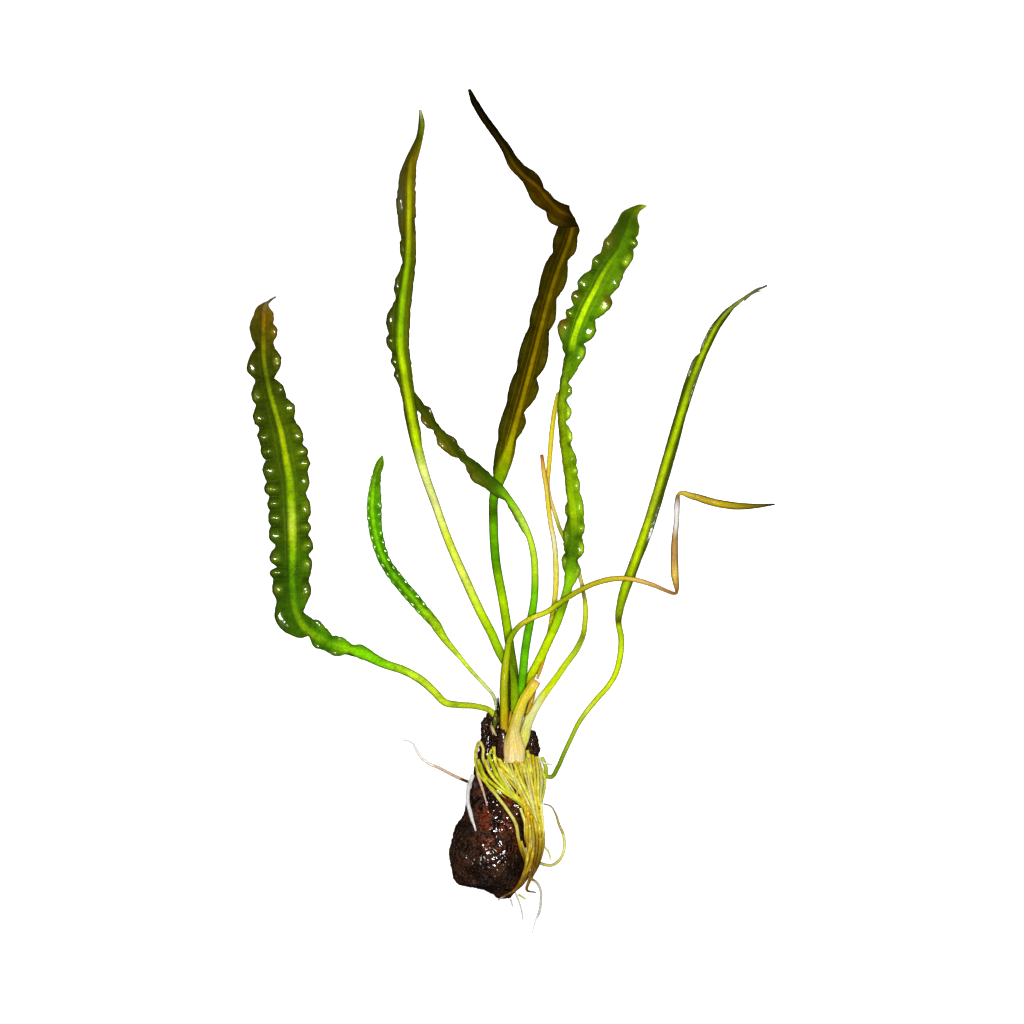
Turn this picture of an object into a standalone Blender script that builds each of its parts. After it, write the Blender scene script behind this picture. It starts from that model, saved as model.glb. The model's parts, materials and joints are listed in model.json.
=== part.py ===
"""Aponogeton plant, pulled up and laid on its side: a lumpy tuber with a tan
crown stub, ruffled strap leaves, wilting stalks and a bundle of roots.

The plant lies on the plane z = 0 with its leaves towards +Y. The origin is
under the belly of the tuber. Routes are in millimetres, built in metres.
"""
import math

import bmesh
import bpy
import numpy as np
from mathutils import Vector
from mathutils.bvhtree import BVHTree

MM = 0.001

# Driving dimensions, in millimetres
TUBER_HEIGHT = 21.0
BLADE_THICKNESS = 0.55
MIDRIB_HEIGHT = 1.3
TOUCH_GAP = 0.35
ROOT_RADIUS = 0.72
PALE_ROOT_BELOW = 0.56

# A stalk's height and the thickness of its edges are shares of its width, and
# the midrib loses this share of its height on the way to the tip
STALK_HEIGHT_SHARE = 0.82
EDGE_SHARE = 0.45
RIB_TAPER = 0.65
LEAST_BLADE_HALF = 0.25
LEAST_STALK_HALF = 0.2

# A stalk turns into a blade over twice this length
BLADE_SPREAD = 8.0

# A margin is crimped in full where its half width passes this. The waves drift
# a little in length, and the right margin's are out of step with the left's.
FULL_CRIMP_HALF = 3.5
WAVE_DRIFT = 0.1
WAVE_DRIFT_RATE = 1.7
RIGHT_MARGIN_LEAD = 1.9

# A root is laid as if a little thicker than it is and never falls away more
# steeply than this. Its tip is a share of its radius.
ROOT_ON_TUBER = 1.15
ROOT_ON_ROOT = 1.06
ROOT_STEEPEST = 0.9
ROOT_TIP_SHARE = 0.45
ABOVE_ALL = 40.0

# Mesh fineness
BLADE_STEP = 1.75
BLADE_HALF = 2.0
STALK_STEP = 6.0
ROOT_STEP = 3.6
MAX_TURN = math.radians(24)
ROUTE_SAMPLE = 0.25
ROOT_SAMPLE = 0.5
ROOT_MAX_TURN = math.radians(40)
ROOT_SIDES = 5
STALK_SIDES = 6

# Each leaf runs from the crown to its tip. A station holds x, y, z of the
# midrib, the half widths left and right of it, and the tilt of each half in
# degrees, negative where that half hangs down.
LEAF_LEFT_RUFFLED = [
    (0.7, 46.0, 6.6, 0.95, 0.95, 0, 0),
    (-4.9, 48.0, 4.8, 1.0, 1.0, 0, 0),
    (-10.5, 48.4, 2.8, 1.1, 1.1, 0, 0),
    (-14.9, 49.2, 1.9, 1.2, 1.2, 0, 0),
    (-18.6, 52.8, 1.5, 1.3, 1.3, 0, 0),
    (-22.6, 56.4, 1.4, 1.4, 1.4, 0, 0),
    (-28.3, 59.7, 1.4, 1.4, 1.4, 0, 0),
    (-35.3, 62.1, 1.4, 1.5, 1.6, 0, 0),
    (-42.3, 65.3, 1.5, 1.8, 2.4, 0, 5),
    (-47.9, 67.2, 1.6, 2.2, 3.2, 0, 5),
    (-54.0, 69.1, 1.8, 3.2, 3.0, 0, 5),
    (-58.7, 71.8, 1.9, 2.6, 3.7, 0, 5),
    (-61.8, 74.2, 2.0, 2.9, 3.3, 0, 5),
    (-63.9, 77.4, 2.0, 5.6, 2.9, 0, 5),
    (-65.3, 82.2, 2.0, 7.0, 4.4, 0, 0),
    (-65.8, 88.0, 2.0, 7.2, 5.5, 0, 0),
    (-65.8, 104.0, 2.1, 7.9, 6.2, 0, 0),
    (-66.2, 116.3, 2.1, 8.2, 6.3, 0, 0),
    (-66.8, 123.9, 2.1, 8.3, 6.8, 0, 0),
    (-68.0, 130.5, 2.1, 8.4, 7.4, 0, 0),
    (-69.7, 139.8, 2.1, 7.7, 7.2, 0, 0),
    (-71.8, 147.1, 2.1, 7.2, 6.0, 0, 0),
    (-74.6, 158.5, 2.0, 5.7, 4.8, 0, 0),
    (-75.4, 165.0, 2.0, 5.1, 4.5, 0, 0),
    (-75.5, 171.3, 2.0, 4.6, 4.2, 0, 0),
    (-75.4, 177.5, 1.9, 3.6, 3.4, 0, 0),
    (-75.0, 181.0, 1.8, 2.2, 1.4, 0, 0),
    (-73.6, 182.9, 2.0, 1.0, 0.7, 0, 0),
    (-71.3, 184.4, 2.4, 0.3, 0.3, 0, 0),
]
LEAF_SMALL_LEFT = [
    (2.5, 43.2, 6.2, 0.55, 0.55, 0, 0),
    (2.2, 47.6, 5.6, 0.6, 0.6, 0, 0),
    (1.2, 51.4, 4.9, 0.6, 0.6, 0, 0),
    (-1.6, 54.8, 3.9, 0.65, 0.65, 0, 0),
    (-5.8, 59.3, 2.7, 0.7, 0.7, 0, 0),
    (-10.5, 64.9, 1.7, 0.85, 0.85, 0, 0),
    (-15.2, 70.5, 1.2, 1.3, 1.3, 0, 0),
    (-18.4, 75.6, 1.1, 1.7, 1.7, 0, 0),
    (-22.6, 80.3, 1.1, 2.0, 2.0, 0, 0),
    (-26.9, 85.4, 1.1, 2.1, 2.1, 0, 0),
    (-31.5, 91.0, 1.1, 2.1, 2.1, 0, 0),
    (-34.9, 96.0, 1.1, 2.1, 2.1, 0, 0),
    (-37.1, 101.4, 1.1, 2.2, 2.2, 0, 0),
    (-38.5, 106.9, 1.1, 2.3, 2.3, 0, 0),
    (-39.2, 112.9, 1.1, 2.2, 2.8, 0, 0),
    (-39.0, 119.7, 1.1, 2.1, 2.9, 0, 0),
    (-37.9, 126.0, 1.1, 1.6, 2.2, 0, 0),
    (-36.5, 129.6, 1.2, 1.0, 1.0, 0, 0),
    (-35.8, 131.5, 1.4, 0.3, 0.3, 0, 0),
]
LEAF_TALL = [
    (7.1, 43.6, 8.6, 1.3, 1.3, 0, 0),
    (7.9, 49.0, 9.6, 1.3, 1.3, 0, 0),
    (7.9, 54.3, 10.2, 1.35, 1.35, 0, 0),
    (6.2, 60.8, 10.4, 1.4, 1.4, 0, 0),
    (3.1, 66.3, 9.8, 1.5, 1.5, 0, 0),
    (0.7, 71.9, 8.9, 1.5, 1.5, 0, 0),
    (-2.5, 78.0, 7.7, 1.5, 1.5, 0, 0),
    (-8.6, 91.1, 5.2, 1.5, 1.5, 0, 0),
    (-14.0, 103.5, 3.5, 1.4, 1.4, 0, 0),
    (-18.1, 115.0, 2.8, 1.4, 1.4, 0, -20),
    (-22.1, 126.5, 2.9, 1.6, 1.6, 0, -35),
    (-24.2, 134.9, 3.3, 2.0, 2.2, -5, -50),
    (-25.7, 142.5, 4.2, 2.3, 2.8, -5, -50),
    (-27.5, 152.2, 4.6, 2.5, 3.0, -5, -50),
    (-29.0, 161.4, 4.2, 3.4, 4.0, -5, -55),
    (-29.9, 168.6, 4.0, 4.2, 4.5, -5, -55),
    (-29.8, 174.7, 4.0, 4.4, 4.6, -5, -55),
    (-28.6, 187.3, 4.0, 3.3, 4.6, -5, -50),
    (-27.5, 195.3, 3.8, 3.1, 4.2, -5, -55),
    (-27.1, 203.3, 3.6, 3.1, 3.8, -10, -50),
    (-27.0, 215.4, 3.4, 4.2, 3.4, -10, -50),
    (-26.8, 224.8, 3.0, 3.4, 3.0, -10, -45),
    (-26.2, 229.3, 2.7, 2.3, 2.3, -5, -35),
    (-24.9, 233.2, 2.4, 1.7, 1.7, 0, -20),
    (-23.5, 237.4, 2.2, 1.2, 1.2, 0, 0),
    (-22.8, 242.2, 2.2, 0.8, 0.8, 0, 0),
    (-23.3, 246.8, 2.6, 0.3, 0.3, 0, 0),
]
LEAF_BROWN_FOLDED = [
    (7.4, 42.4, 4.6, 1.3, 1.3, 0, 0),
    (8.0, 50.0, 5.0, 1.4, 1.4, 0, 0),
    (8.0, 58.0, 5.3, 1.5, 1.5, 0, 0),
    (6.9, 66.0, 5.1, 1.5, 1.5, 0, 0),
    (5.6, 75.0, 4.5, 1.5, 1.5, 0, 0),
    (4.4, 82.6, 3.9, 1.5, 1.5, 0, 0),
    (1.9, 96.7, 2.6, 1.5, 1.5, 0, 0),
    (1.2, 108.0, 1.6, 1.5, 1.5, 0, 0),
    (1.5, 118.6, 1.3, 1.6, 1.6, 0, 0),
    (4.1, 126.1, 1.5, 2.3, 2.3, 0, 0),
    (6.1, 133.0, 1.7, 4.0, 2.8, 0, 0),
    (8.1, 140.4, 1.8, 4.9, 2.9, 0, 0),
    (12.2, 155.4, 1.9, 4.8, 3.5, 0, 0),
    (15.9, 169.7, 1.9, 4.6, 3.5, 0, 0),
    (19.4, 183.0, 1.9, 4.6, 3.2, 0, 0),
    (22.9, 194.0, 1.9, 5.0, 2.4, 0, 0),
    (26.0, 202.0, 1.8, 4.8, 2.9, 0, 0),
    (27.5, 207.2, 1.8, 4.2, 2.7, 0, 0),
    (28.1, 210.4, 2.7, 3.6, 2.7, 0, 0),
    (26.6, 211.4, 3.9, 3.2, 3.0, 0, 0),
    (23.4, 212.8, 4.7, 2.8, 3.6, 0, 0),
    (19.2, 216.9, 4.4, 2.5, 3.8, 0, 0),
    (15.7, 221.1, 3.2, 2.6, 3.8, 0, 0),
    (11.5, 224.5, 2.4, 2.9, 2.8, 0, 0),
    (8.1, 228.3, 2.2, 2.7, 2.7, 0, 0),
    (5.0, 233.7, 2.0, 2.0, 2.0, 0, 0),
    (2.0, 238.3, 1.8, 1.7, 1.7, 0, 0),
    (-1.9, 243.7, 1.6, 1.4, 1.4, 0, 0),
    (-5.3, 249.4, 1.5, 0.9, 0.9, 0, 0),
    (-7.0, 253.6, 1.6, 0.3, 0.3, 0, 0),
]
BROWN_FOLD_STATION = 18
BROWN_FOLD_CREASE = math.radians(118)
BROWN_FOLD_REACH = 7.0
LEAF_ARCHED = [
    (9.6, 43.6, 6.6, 1.2, 1.2, 0, 0),
    (10.1, 51.0, 7.4, 1.25, 1.25, 0, 0),
    (10.7, 56.0, 8.0, 1.35, 1.35, 0, 0),
    (11.8, 67.2, 7.9, 1.4, 1.4, 0, 0),
    (13.2, 75.2, 6.8, 1.35, 1.35, 0, 0),
    (14.6, 82.6, 5.6, 1.25, 1.25, 0, 0),
    (15.0, 90.6, 4.5, 1.2, 1.2, 0, 0),
    (14.6, 98.1, 3.7, 1.15, 1.15, 0, 0),
    (12.7, 105.6, 3.5, 1.05, 1.05, 0, 0),
    (9.4, 112.6, 3.9, 1.2, 1.0, 0, 0),
    (6.1, 117.3, 4.2, 1.8, 1.1, 0, 0),
    (3.1, 121.1, 4.5, 2.3, 1.3, 0, 0),
    (-0.5, 124.6, 4.0, 3.6, 1.3, -10, 0),
    (-4.0, 127.8, 3.0, 3.8, 1.6, -10, 0),
    (-11.2, 132.9, 2.0, 2.4, 2.0, 0, 0),
    (-15.2, 138.0, 1.7, 2.7, 2.1, 0, 0),
    (-19.8, 143.1, 1.2, 2.2, 2.1, 0, 0),
    (-23.9, 149.2, 0.7, 1.0, 1.0, 0, 0),
    (-25.2, 152.6, 0.6, 0.3, 0.3, 0, 0),
]
LEAF_BROAD_RUFFLED = [
    (12.2, 44.4, 3.9, 1.4, 1.4, 0, 0),
    (12.2, 51.0, 4.6, 1.45, 1.45, 0, 0),
    (13.0, 56.6, 5.3, 1.45, 1.45, 0, 0),
    (15.2, 61.0, 5.9, 1.45, 1.45, 0, 0),
    (17.6, 65.8, 6.2, 1.5, 1.5, 0, 0),
    (19.7, 70.4, 6.2, 1.5, 1.5, 0, 0),
    (21.8, 74.9, 5.9, 1.5, 1.5, 0, 0),
    (24.0, 80.9, 5.2, 1.5, 1.5, 0, 0),
    (25.4, 85.4, 4.6, 1.5, 1.5, 0, 0),
    (26.6, 91.4, 4.2, 1.5, 1.6, 0, -10),
    (27.4, 97.0, 4.2, 2.4, 2.4, -15, -15),
    (28.0, 104.2, 4.2, 3.9, 3.9, -15, -15),
    (27.7, 112.4, 3.8, 3.6, 3.2, -30, -10),
    (26.6, 121.3, 3.8, 3.2, 3.0, -60, -10),
    (25.5, 129.0, 3.8, 3.2, 3.2, -65, -10),
    (24.4, 138.4, 3.8, 3.2, 3.2, -65, -10),
    (23.9, 145.6, 3.8, 3.2, 3.2, -60, -10),
    (24.5, 153.0, 3.8, 3.2, 3.0, -68, -10),
    (25.6, 159.5, 3.6, 3.0, 3.0, -65, -15),
    (27.0, 165.4, 3.4, 2.6, 3.2, -50, -20),
    (27.9, 170.2, 3.0, 3.4, 4.6, -20, -15),
    (29.6, 175.4, 2.7, 5.6, 5.9, -5, -5),
    (31.8, 180.7, 2.5, 5.6, 5.4, 0, 0),
    (34.1, 185.2, 2.4, 6.2, 6.4, 0, 0),
    (36.8, 190.5, 2.4, 5.9, 6.0, 0, 0),
    (39.4, 195.0, 2.4, 5.7, 5.7, 0, 0),
    (42.4, 199.2, 2.4, 5.0, 5.0, 0, 0),
    (44.3, 203.2, 2.3, 4.5, 4.4, 0, 0),
    (45.7, 206.8, 2.2, 3.8, 3.4, 0, 0),
    (47.1, 210.8, 2.2, 3.0, 2.0, 0, 0),
    (49.0, 213.4, 2.5, 1.6, 1.2, 0, 0),
    (52.2, 214.8, 3.0, 0.3, 0.3, 0, 0),
]
LEAF_LONG_RIGHT = [
    (17.4, 31.0, 6.2, 0.65, 0.65, 0, 0),
    (18.6, 27.6, 5.6, 0.65, 0.65, 0, 0),
    (19.0, 24.6, 4.4, 0.65, 0.65, 0, 0),
    (20.4, 24.4, 3.2, 0.7, 0.7, 0, 0),
    (22.6, 27.6, 1.9, 0.75, 0.75, 0, 0),
    (24.7, 32.3, 1.0, 0.75, 0.75, 0, 0),
    (26.9, 37.0, 0.8, 0.75, 0.75, 0, 0),
    (29.4, 42.1, 0.8, 0.8, 0.8, 0, 0),
    (35.8, 50.6, 0.8, 0.9, 0.9, 0, 0),
    (39.2, 54.4, 0.9, 0.9, 0.9, 0, 0),
    (41.8, 58.7, 0.9, 0.95, 0.95, 0, 0),
    (43.3, 64.2, 0.9, 1.0, 1.0, 0, 0),
    (43.7, 70.6, 0.9, 1.0, 1.0, 0, 0),
    (42.8, 76.3, 1.0, 1.05, 1.05, 0, 0),
    (43.5, 82.1, 1.1, 1.3, 1.3, 0, 0),
    (45.2, 88.0, 1.1, 1.6, 1.6, 0, 0),
    (47.4, 94.0, 1.2, 1.9, 1.9, 0, 0),
    (49.9, 101.2, 1.3, 2.0, 2.0, 0, 0),
    (54.6, 116.1, 1.3, 1.9, 1.9, 0, 0),
    (59.9, 133.1, 1.3, 1.85, 1.85, 0, 0),
    (63.7, 145.2, 1.3, 1.8, 1.8, 0, 0),
    (67.6, 157.4, 1.2, 1.9, 1.6, 0, 0),
    (72.0, 167.9, 1.1, 1.8, 1.4, 0, 0),
    (76.5, 176.2, 1.0, 1.1, 1.1, 0, 0),
    (79.2, 179.5, 0.9, 0.8, 0.8, 0, 0),
    (83.1, 182.8, 0.8, 0.5, 0.5, 0, 0),
    (87.0, 185.6, 0.8, 0.4, 0.4, 0, 0),
    (92.4, 188.2, 0.8, 0.3, 0.3, 0, 0),
]

# The first stations of the long leaf run over the tuber's flank, under the roots
LONG_RIGHT_BASE_STATIONS = 5

# A wilting stalk holds x, y, z and its half width
STEM_DYING = [
    (4.7, 39.7, 12.2, 1.3),
    (4.7, 47.0, 13.0, 1.25),
    (4.8, 57.9, 13.6, 1.25),
    (5.6, 64.9, 13.4, 1.2),
    (6.8, 70.7, 12.3, 1.1),
    (8.5, 73.4, 11.5, 1.0),
    (10.8, 75.6, 10.6, 0.95),
    (14.1, 77.5, 9.9, 0.9),
    (18.8, 79.4, 8.9, 0.85),
    (23.4, 82.6, 7.9, 0.8),
    (29.5, 86.4, 6.1, 0.75),
    (35.1, 89.0, 4.9, 0.75),
    (40.8, 90.4, 4.1, 0.75),
    (45.4, 90.6, 3.7, 0.75),
    (50.1, 89.7, 3.1, 0.7),
    (54.8, 88.2, 2.2, 0.6),
    (59.5, 86.2, 1.1, 0.6),
    (61.6, 85.8, 0.8, 0.6),
    (61.9, 87.8, 0.9, 0.9),
    (61.6, 91.0, 1.1, 1.3),
    (61.4, 97.0, 1.1, 1.3),
    (61.6, 104.2, 1.0, 1.1),
    (62.2, 110.6, 0.8, 0.9),
    (62.4, 116.0, 0.8, 0.85),
    (63.5, 118.6, 0.8, 0.85),
    (65.8, 118.6, 0.8, 0.95),
    (69.5, 117.4, 0.9, 1.1),
    (75.9, 115.6, 0.9, 1.15),
    (82.2, 114.7, 0.9, 1.1),
    (88.6, 114.7, 0.8, 0.8),
    (95.0, 115.3, 0.8, 0.25),
]
STEM_YELLOW = [
    (16.9, 58.9, 12.4, 0.45),
    (18.9, 61.6, 9.0, 0.7),
    (20.1, 64.2, 5.0, 0.8),
    (20.2, 66.8, 2.8, 0.85),
    (19.8, 70.0, 2.1, 0.9),
    (20.1, 74.0, 1.8, 0.9),
    (21.1, 80.4, 1.4, 0.9),
    (21.9, 87.6, 1.2, 0.95),
    (21.9, 95.9, 1.2, 0.95),
    (21.3, 103.0, 1.4, 0.9),
    (20.2, 108.8, 2.0, 0.85),
    (19.4, 114.7, 2.9, 0.85),
    (18.8, 120.4, 3.0, 0.8),
    (17.8, 126.8, 1.7, 0.8),
    (17.2, 131.8, 0.9, 0.6),
]
LEAF_YELLOWED = [
    (11.6, 41.2, 9.2, 1.4),
    (12.9, 43.6, 9.2, 1.45),
    (15.9, 48.8, 8.6, 1.4),
    (18.9, 53.2, 6.9, 1.25),
    (22.0, 57.4, 5.1, 1.15),
    (25.3, 62.1, 3.4, 1.1),
    (28.6, 66.6, 2.1, 1.1),
    (30.9, 71.4, 1.3, 1.0),
    (31.7, 76.6, 1.0, 0.9),
    (31.8, 81.2, 0.9, 0.85),
    (31.2, 85.4, 0.8, 0.7),
    (29.9, 91.4, 0.8, 0.7),
    (28.5, 95.9, 0.8, 0.7),
    (25.7, 101.7, 0.8, 0.7),
    (23.1, 107.5, 0.8, 0.7),
    (21.5, 112.6, 0.8, 0.7),
    (19.8, 118.0, 0.8, 0.7),
    (19.0, 121.8, 0.8, 0.75),
    (19.4, 129.0, 0.8, 0.8),
    (19.8, 138.4, 0.8, 0.8),
    (21.0, 146.0, 0.7, 0.7),
    (21.7, 152.0, 0.6, 0.4),
]
CROWN_STUB = [
    (8.2, 29.6, 13.3, 3.2),
    (8.1, 31.4, 13.7, 3.5),
    (8.1, 34.0, 14.0, 3.55),
    (8.0, 36.8, 14.2, 3.0),
    (8.0, 39.5, 14.3, 2.1),
    (9.0, 43.4, 14.6, 1.9),
    (9.9, 46.3, 14.65, 1.8),
    (11.2, 50.0, 14.7, 1.6),
    (13.4, 53.3, 14.5, 1.9),
    (16.0, 57.0, 14.2, 1.15),
]
BRACT = [
    (12.6, 45.6, 11.9, 0.35),
    (13.8, 48.4, 12.0, 0.6),
    (15.0, 51.8, 12.2, 0.5),
    (15.6, 53.4, 12.2, 0.2),
]
SHEATH = [
    (6.5, 40.6, 12.0, 0.5),
    (6.7, 43.6, 12.4, 0.65),
    (7.0, 46.6, 12.6, 0.3),
]

# The tuber's rings hold y, the left and right edges, the low and high edges
TUBER_RINGS = [
    (-16.2, 2.6, 7.0, 4.5, 9.5),
    (-14.9, 1.0, 8.2, 2.4, 12.5),
    (-13.2, -2.5, 9.2, 0.8, 15.0),
    (-11.4, -10.2, 10.0, -0.4, 17.6),
    (-8.6, -12.7, 11.0, -1.2, TUBER_HEIGHT - 1.8),
    (-4.6, -13.8, 11.4, -1.8, TUBER_HEIGHT - 0.5),
    (0.0, -13.6, 12.0, -2.0, TUBER_HEIGHT),
    (4.2, -13.2, 13.2, -2.0, TUBER_HEIGHT - 0.5),
    (8.0, -11.6, 14.6, -1.6, TUBER_HEIGHT - 1.6),
    (11.5, -9.5, 15.6, -1.0, TUBER_HEIGHT - 2.8),
    (15.5, -7.9, 16.4, -0.6, TUBER_HEIGHT - 4.4),
    (20.5, -7.1, 16.8, -0.2, TUBER_HEIGHT - 6.6),
    (25.2, -5.9, 16.2, 0.3, TUBER_HEIGHT - 8.5),
    (29.5, -5.0, 15.2, 0.8, TUBER_HEIGHT - 10.0),
    (34.0, -3.4, 13.6, 1.6, TUBER_HEIGHT - 10.9),
    (38.0, -2.6, 12.0, 2.6, TUBER_HEIGHT - 11.8),
    (40.0, -0.8, 10.0, 4.2, TUBER_HEIGHT - 13.2),
]
TUBER_SIDES = 18

# Slow swellings of the skin are weaker on the end rings. Points below the
# bearing height, on rings that reach down to the floor, are laid flat on it.
END_RING_SWELL = 0.4
FLOOR_RING_BELOW = 0.5
BEARING_HEIGHT = 0.7

# Remains of old leaf bases: centre, then half sizes along x, y and z
OLD_LEAF_BASES = [
    ((-1.2, 38.6, 6.6), (2.1, 6.4, 3.6)),
    ((13.8, 36.0, 7.4), (2.4, 4.6, 3.6)),
    ((4.0, 33.5, 8.6), (2.6, 4.5, 2.2)),
]

# Roots in the order in which they lie on each other: name, radius and the
# route seen from above
ROOTS = [
    ("root_pale_left", ROOT_RADIUS, [(-5.6, 25.2), (-7.0, 21.4), (-7.4, 16.8), (-6.4, 12.2), (-4.6, 6.6)]),
    ("root_side_left", 0.55, [(-7.6, 23.0), (-12.6, 25.2), (-17.0, 27.4), (-21.0, 29.2),
                              (-23.8, 32.0), (-26.0, 35.8), (-29.6, 37.0)]),
    ("root_cream_a", 0.4, [(3.4, 26.8), (6.4, 22.0), (8.6, 18.8)]),
    ("root_cream_b", 0.5, [(5.6, 28.2), (7.2, 24.6), (8.8, 20.6), (9.2, 18.0)]),
    ("root_yellow_inner", 0.55, [(9.8, 28.0), (11.0, 23.6), (12.4, 20.4)]),
    ("root_pink", 0.5, [(12.6, 27.0), (13.1, 22.8), (13.7, 19.4)]),
    ("root_right_a", 0.6, [(14.4, 27.2), (15.6, 22.6), (16.4, 17.6)]),
    ("root_right_b", 0.65, [(15.6, 31.6), (16.9, 27.4), (18.2, 23.6), (17.8, 19.4), (16.8, 15.4),
                            (17.5, 10.0), (17.9, 4.2)]),
    ("root_brown_a", 0.6, [(15.2, 12.4), (16.2, 6.6), (16.9, 1.4), (16.1, -3.4),
                             (14.0, -8.0)]),
    ("root_hairpin", ROOT_RADIUS, [(1.2, 24.8), (-0.8, 27.4), (-2.2, 30.2), (-2.4, 34.4), (-3.4, 36.2),
                            (-4.4, 33.4), (-4.6, 29.4), (-4.0, 25.4), (-2.6, 21.0), (-0.8, 14.6)]),
    ("root_long_under", 0.75, [(-3.2, 27.4), (-1.0, 22.4), (2.4, 18.2), (6.0, 13.4), (8.6, 9.0),
                               (9.4, 4.4), (10.4, 0.4), (12.0, -4.0), (12.0, -9.0), (9.0, -12.8),
                               (4.8, -15.0), (2.4, -16.6)]),
    ("root_front_a", ROOT_RADIUS, [(2.4, 31.6), (4.6, 28.0), (7.8, 24.6), (11.0, 20.0), (13.8, 14.6),
                            (16.4, 9.6), (17.4, 4.8)]),
    ("root_front_b", ROOT_RADIUS, [(0.4, 29.4), (2.2, 25.4), (5.6, 21.0), (9.6, 17.4), (13.0, 13.6),
                            (15.6, 9.6), (17.0, 3.4), (16.4, -2.2)]),
    ("root_loop", 0.62, [(10.2, 14.2), (11.6, 9.6), (12.0, 4.2), (13.2, 0.2), (15.4, -3.2),
                         (18.4, -4.9), (21.0, -4.9), (23.4, -3.0), (24.8, 1.2), (24.4, 5.2),
                         (22.9, 8.8), (21.8, 12.4), (20.2, 14.8), (17.8, 15.6)]),
    ("root_mid_a", ROOT_RADIUS, [(8.8, 28.2), (9.6, 24.8), (11.8, 20.8), (13.8, 16.6), (15.8, 12.2),
                          (17.4, 7.6), (17.8, 3.0), (17.0, -2.6)]),
    ("root_mid_b", 0.68, [(10.8, 29.0), (12.8, 25.2), (14.4, 20.8), (15.6, 16.6), (16.6, 12.2),
                          (17.6, 7.4)]),
    ("root_mid_c", 0.68, [(13.2, 30.0), (14.4, 26.2), (15.4, 21.8), (15.8, 17.6), (16.6, 13.4)]),
    ("root_tail_a", 0.62, [(17.8, 2.6), (16.9, -1.4), (15.8, -5.2), (14.2, -8.0), (12.8, -10.8),
                           (12.2, -13.0), (15.6, -14.0)]),
    ("root_tail_white", 0.5, [(12.8, -6.8), (13.6, -9.0), (15.6, -10.6), (16.8, -12.8),
                              (17.0, -16.4), (16.6, -20.0), (15.0, -24.2), (14.0, -28.0)]),
    ("root_hair_a", 0.35, [(8.6, -14.2), (10.0, -18.0), (10.8, -21.6), (11.2, -25.2)]),
    ("root_hair_b", 0.35, [(6.8, -16.2), (7.8, -19.2)]),
    ("root_hair_c", 0.4, [(9.6, -14.6), (12.2, -16.2)]),
    ("root_hair_d", 0.35, [(18.0, 1.6), (19.6, -0.6), (20.2, -3.6)]),
    ("root_hair_right", 0.35, [(12.8, 32.2), (15.8, 30.2), (18.8, 28.9), (21.4, 28.4)]),
]

# Plain colour and roughness of each tissue
TISSUES = {
    "leaf dark green": ((0.045, 0.085, 0.004), 0.3),
    "leaf fresh green": ((0.14, 0.32, 0.008), 0.35),
    "leaf bright green": ((0.17, 0.30, 0.008), 0.3),
    "leaf olive brown": ((0.05, 0.035, 0.003), 0.35),
    "leaf long green": ((0.30, 0.36, 0.01), 0.35),
    "stalk olive": ((0.45, 0.38, 0.02), 0.45),
    "stalk straw": ((0.72, 0.56, 0.05), 0.45),
    "stalk sallow": ((0.52, 0.56, 0.07), 0.4),
    "crown tan": ((0.78, 0.52, 0.14), 0.45),
    "tuber black": ((0.022, 0.012, 0.008), 0.3),
    "root yellow": ((0.75, 0.72, 0.12), 0.4),
    "root pale": ((0.80, 0.74, 0.52), 0.45),
}


def clear_scene():
    for item in list(bpy.data.objects):
        bpy.data.objects.remove(item, do_unlink=True)


def tissue(name):
    colour, roughness = TISSUES[name]
    material = bpy.data.materials.new(name)
    material.use_nodes = True
    shader = material.node_tree.nodes["Principled BSDF"]
    shader.inputs["Base Color"].default_value = (*colour, 1.0)
    shader.inputs["Roughness"].default_value = roughness
    shader.inputs["Metallic"].default_value = 0.0
    return material


def smoothstep(low, high, value):
    share = np.clip((value - low) / (high - low), 0.0, 1.0)
    return share * share * (3 - 2 * share)


def read_curve(stations, along):
    """Columns of a smooth curve through the stations at distances along it."""
    knots = np.array(stations, float)
    chords = np.linalg.norm(np.diff(knots[:, :3], axis=0), axis=1)
    reach = np.concatenate([[0.0], np.cumsum(chords)])
    slopes = np.gradient(knots, reach, axis=0)
    first = np.clip(np.searchsorted(reach, along, side="right") - 1, 0, len(reach) - 2)
    span = (reach[first + 1] - reach[first])[:, None]
    u = (along - reach[first])[:, None] / span
    return (
        knots[first] * (1 + 2 * u) * (1 - u) ** 2
        + slopes[first] * span * u * (1 - u) ** 2
        + knots[first + 1] * u * u * (3 - 2 * u)
        + slopes[first + 1] * span * u * u * (u - 1)
    )


def curve_length(stations):
    knots = np.array(stations, float)
    return float(np.linalg.norm(np.diff(knots[:, :3], axis=0), axis=1).sum())


def row_places(stations, blade_step, stalk_step):
    """Distances for the rows: close on the blade and in bends, wide elsewhere."""
    dense = np.arange(0.0, curve_length(stations), ROUTE_SAMPLE)
    rows = read_curve(stations, dense)
    heading = np.gradient(rows[:, :3], axis=0)
    heading /= np.linalg.norm(heading, axis=1)[:, None]
    turn = np.linalg.norm(np.diff(heading, axis=0, append=heading[-1:]), axis=1)
    step = np.where(rows[:, 3] > BLADE_HALF, blade_step, stalk_step)
    cost = np.cumsum(np.maximum(ROUTE_SAMPLE / step, turn / MAX_TURN))
    count = max(3, int(round(cost[-1])))
    return np.interp(np.linspace(cost[0], cost[-1], count + 1), cost, dense)


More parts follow.
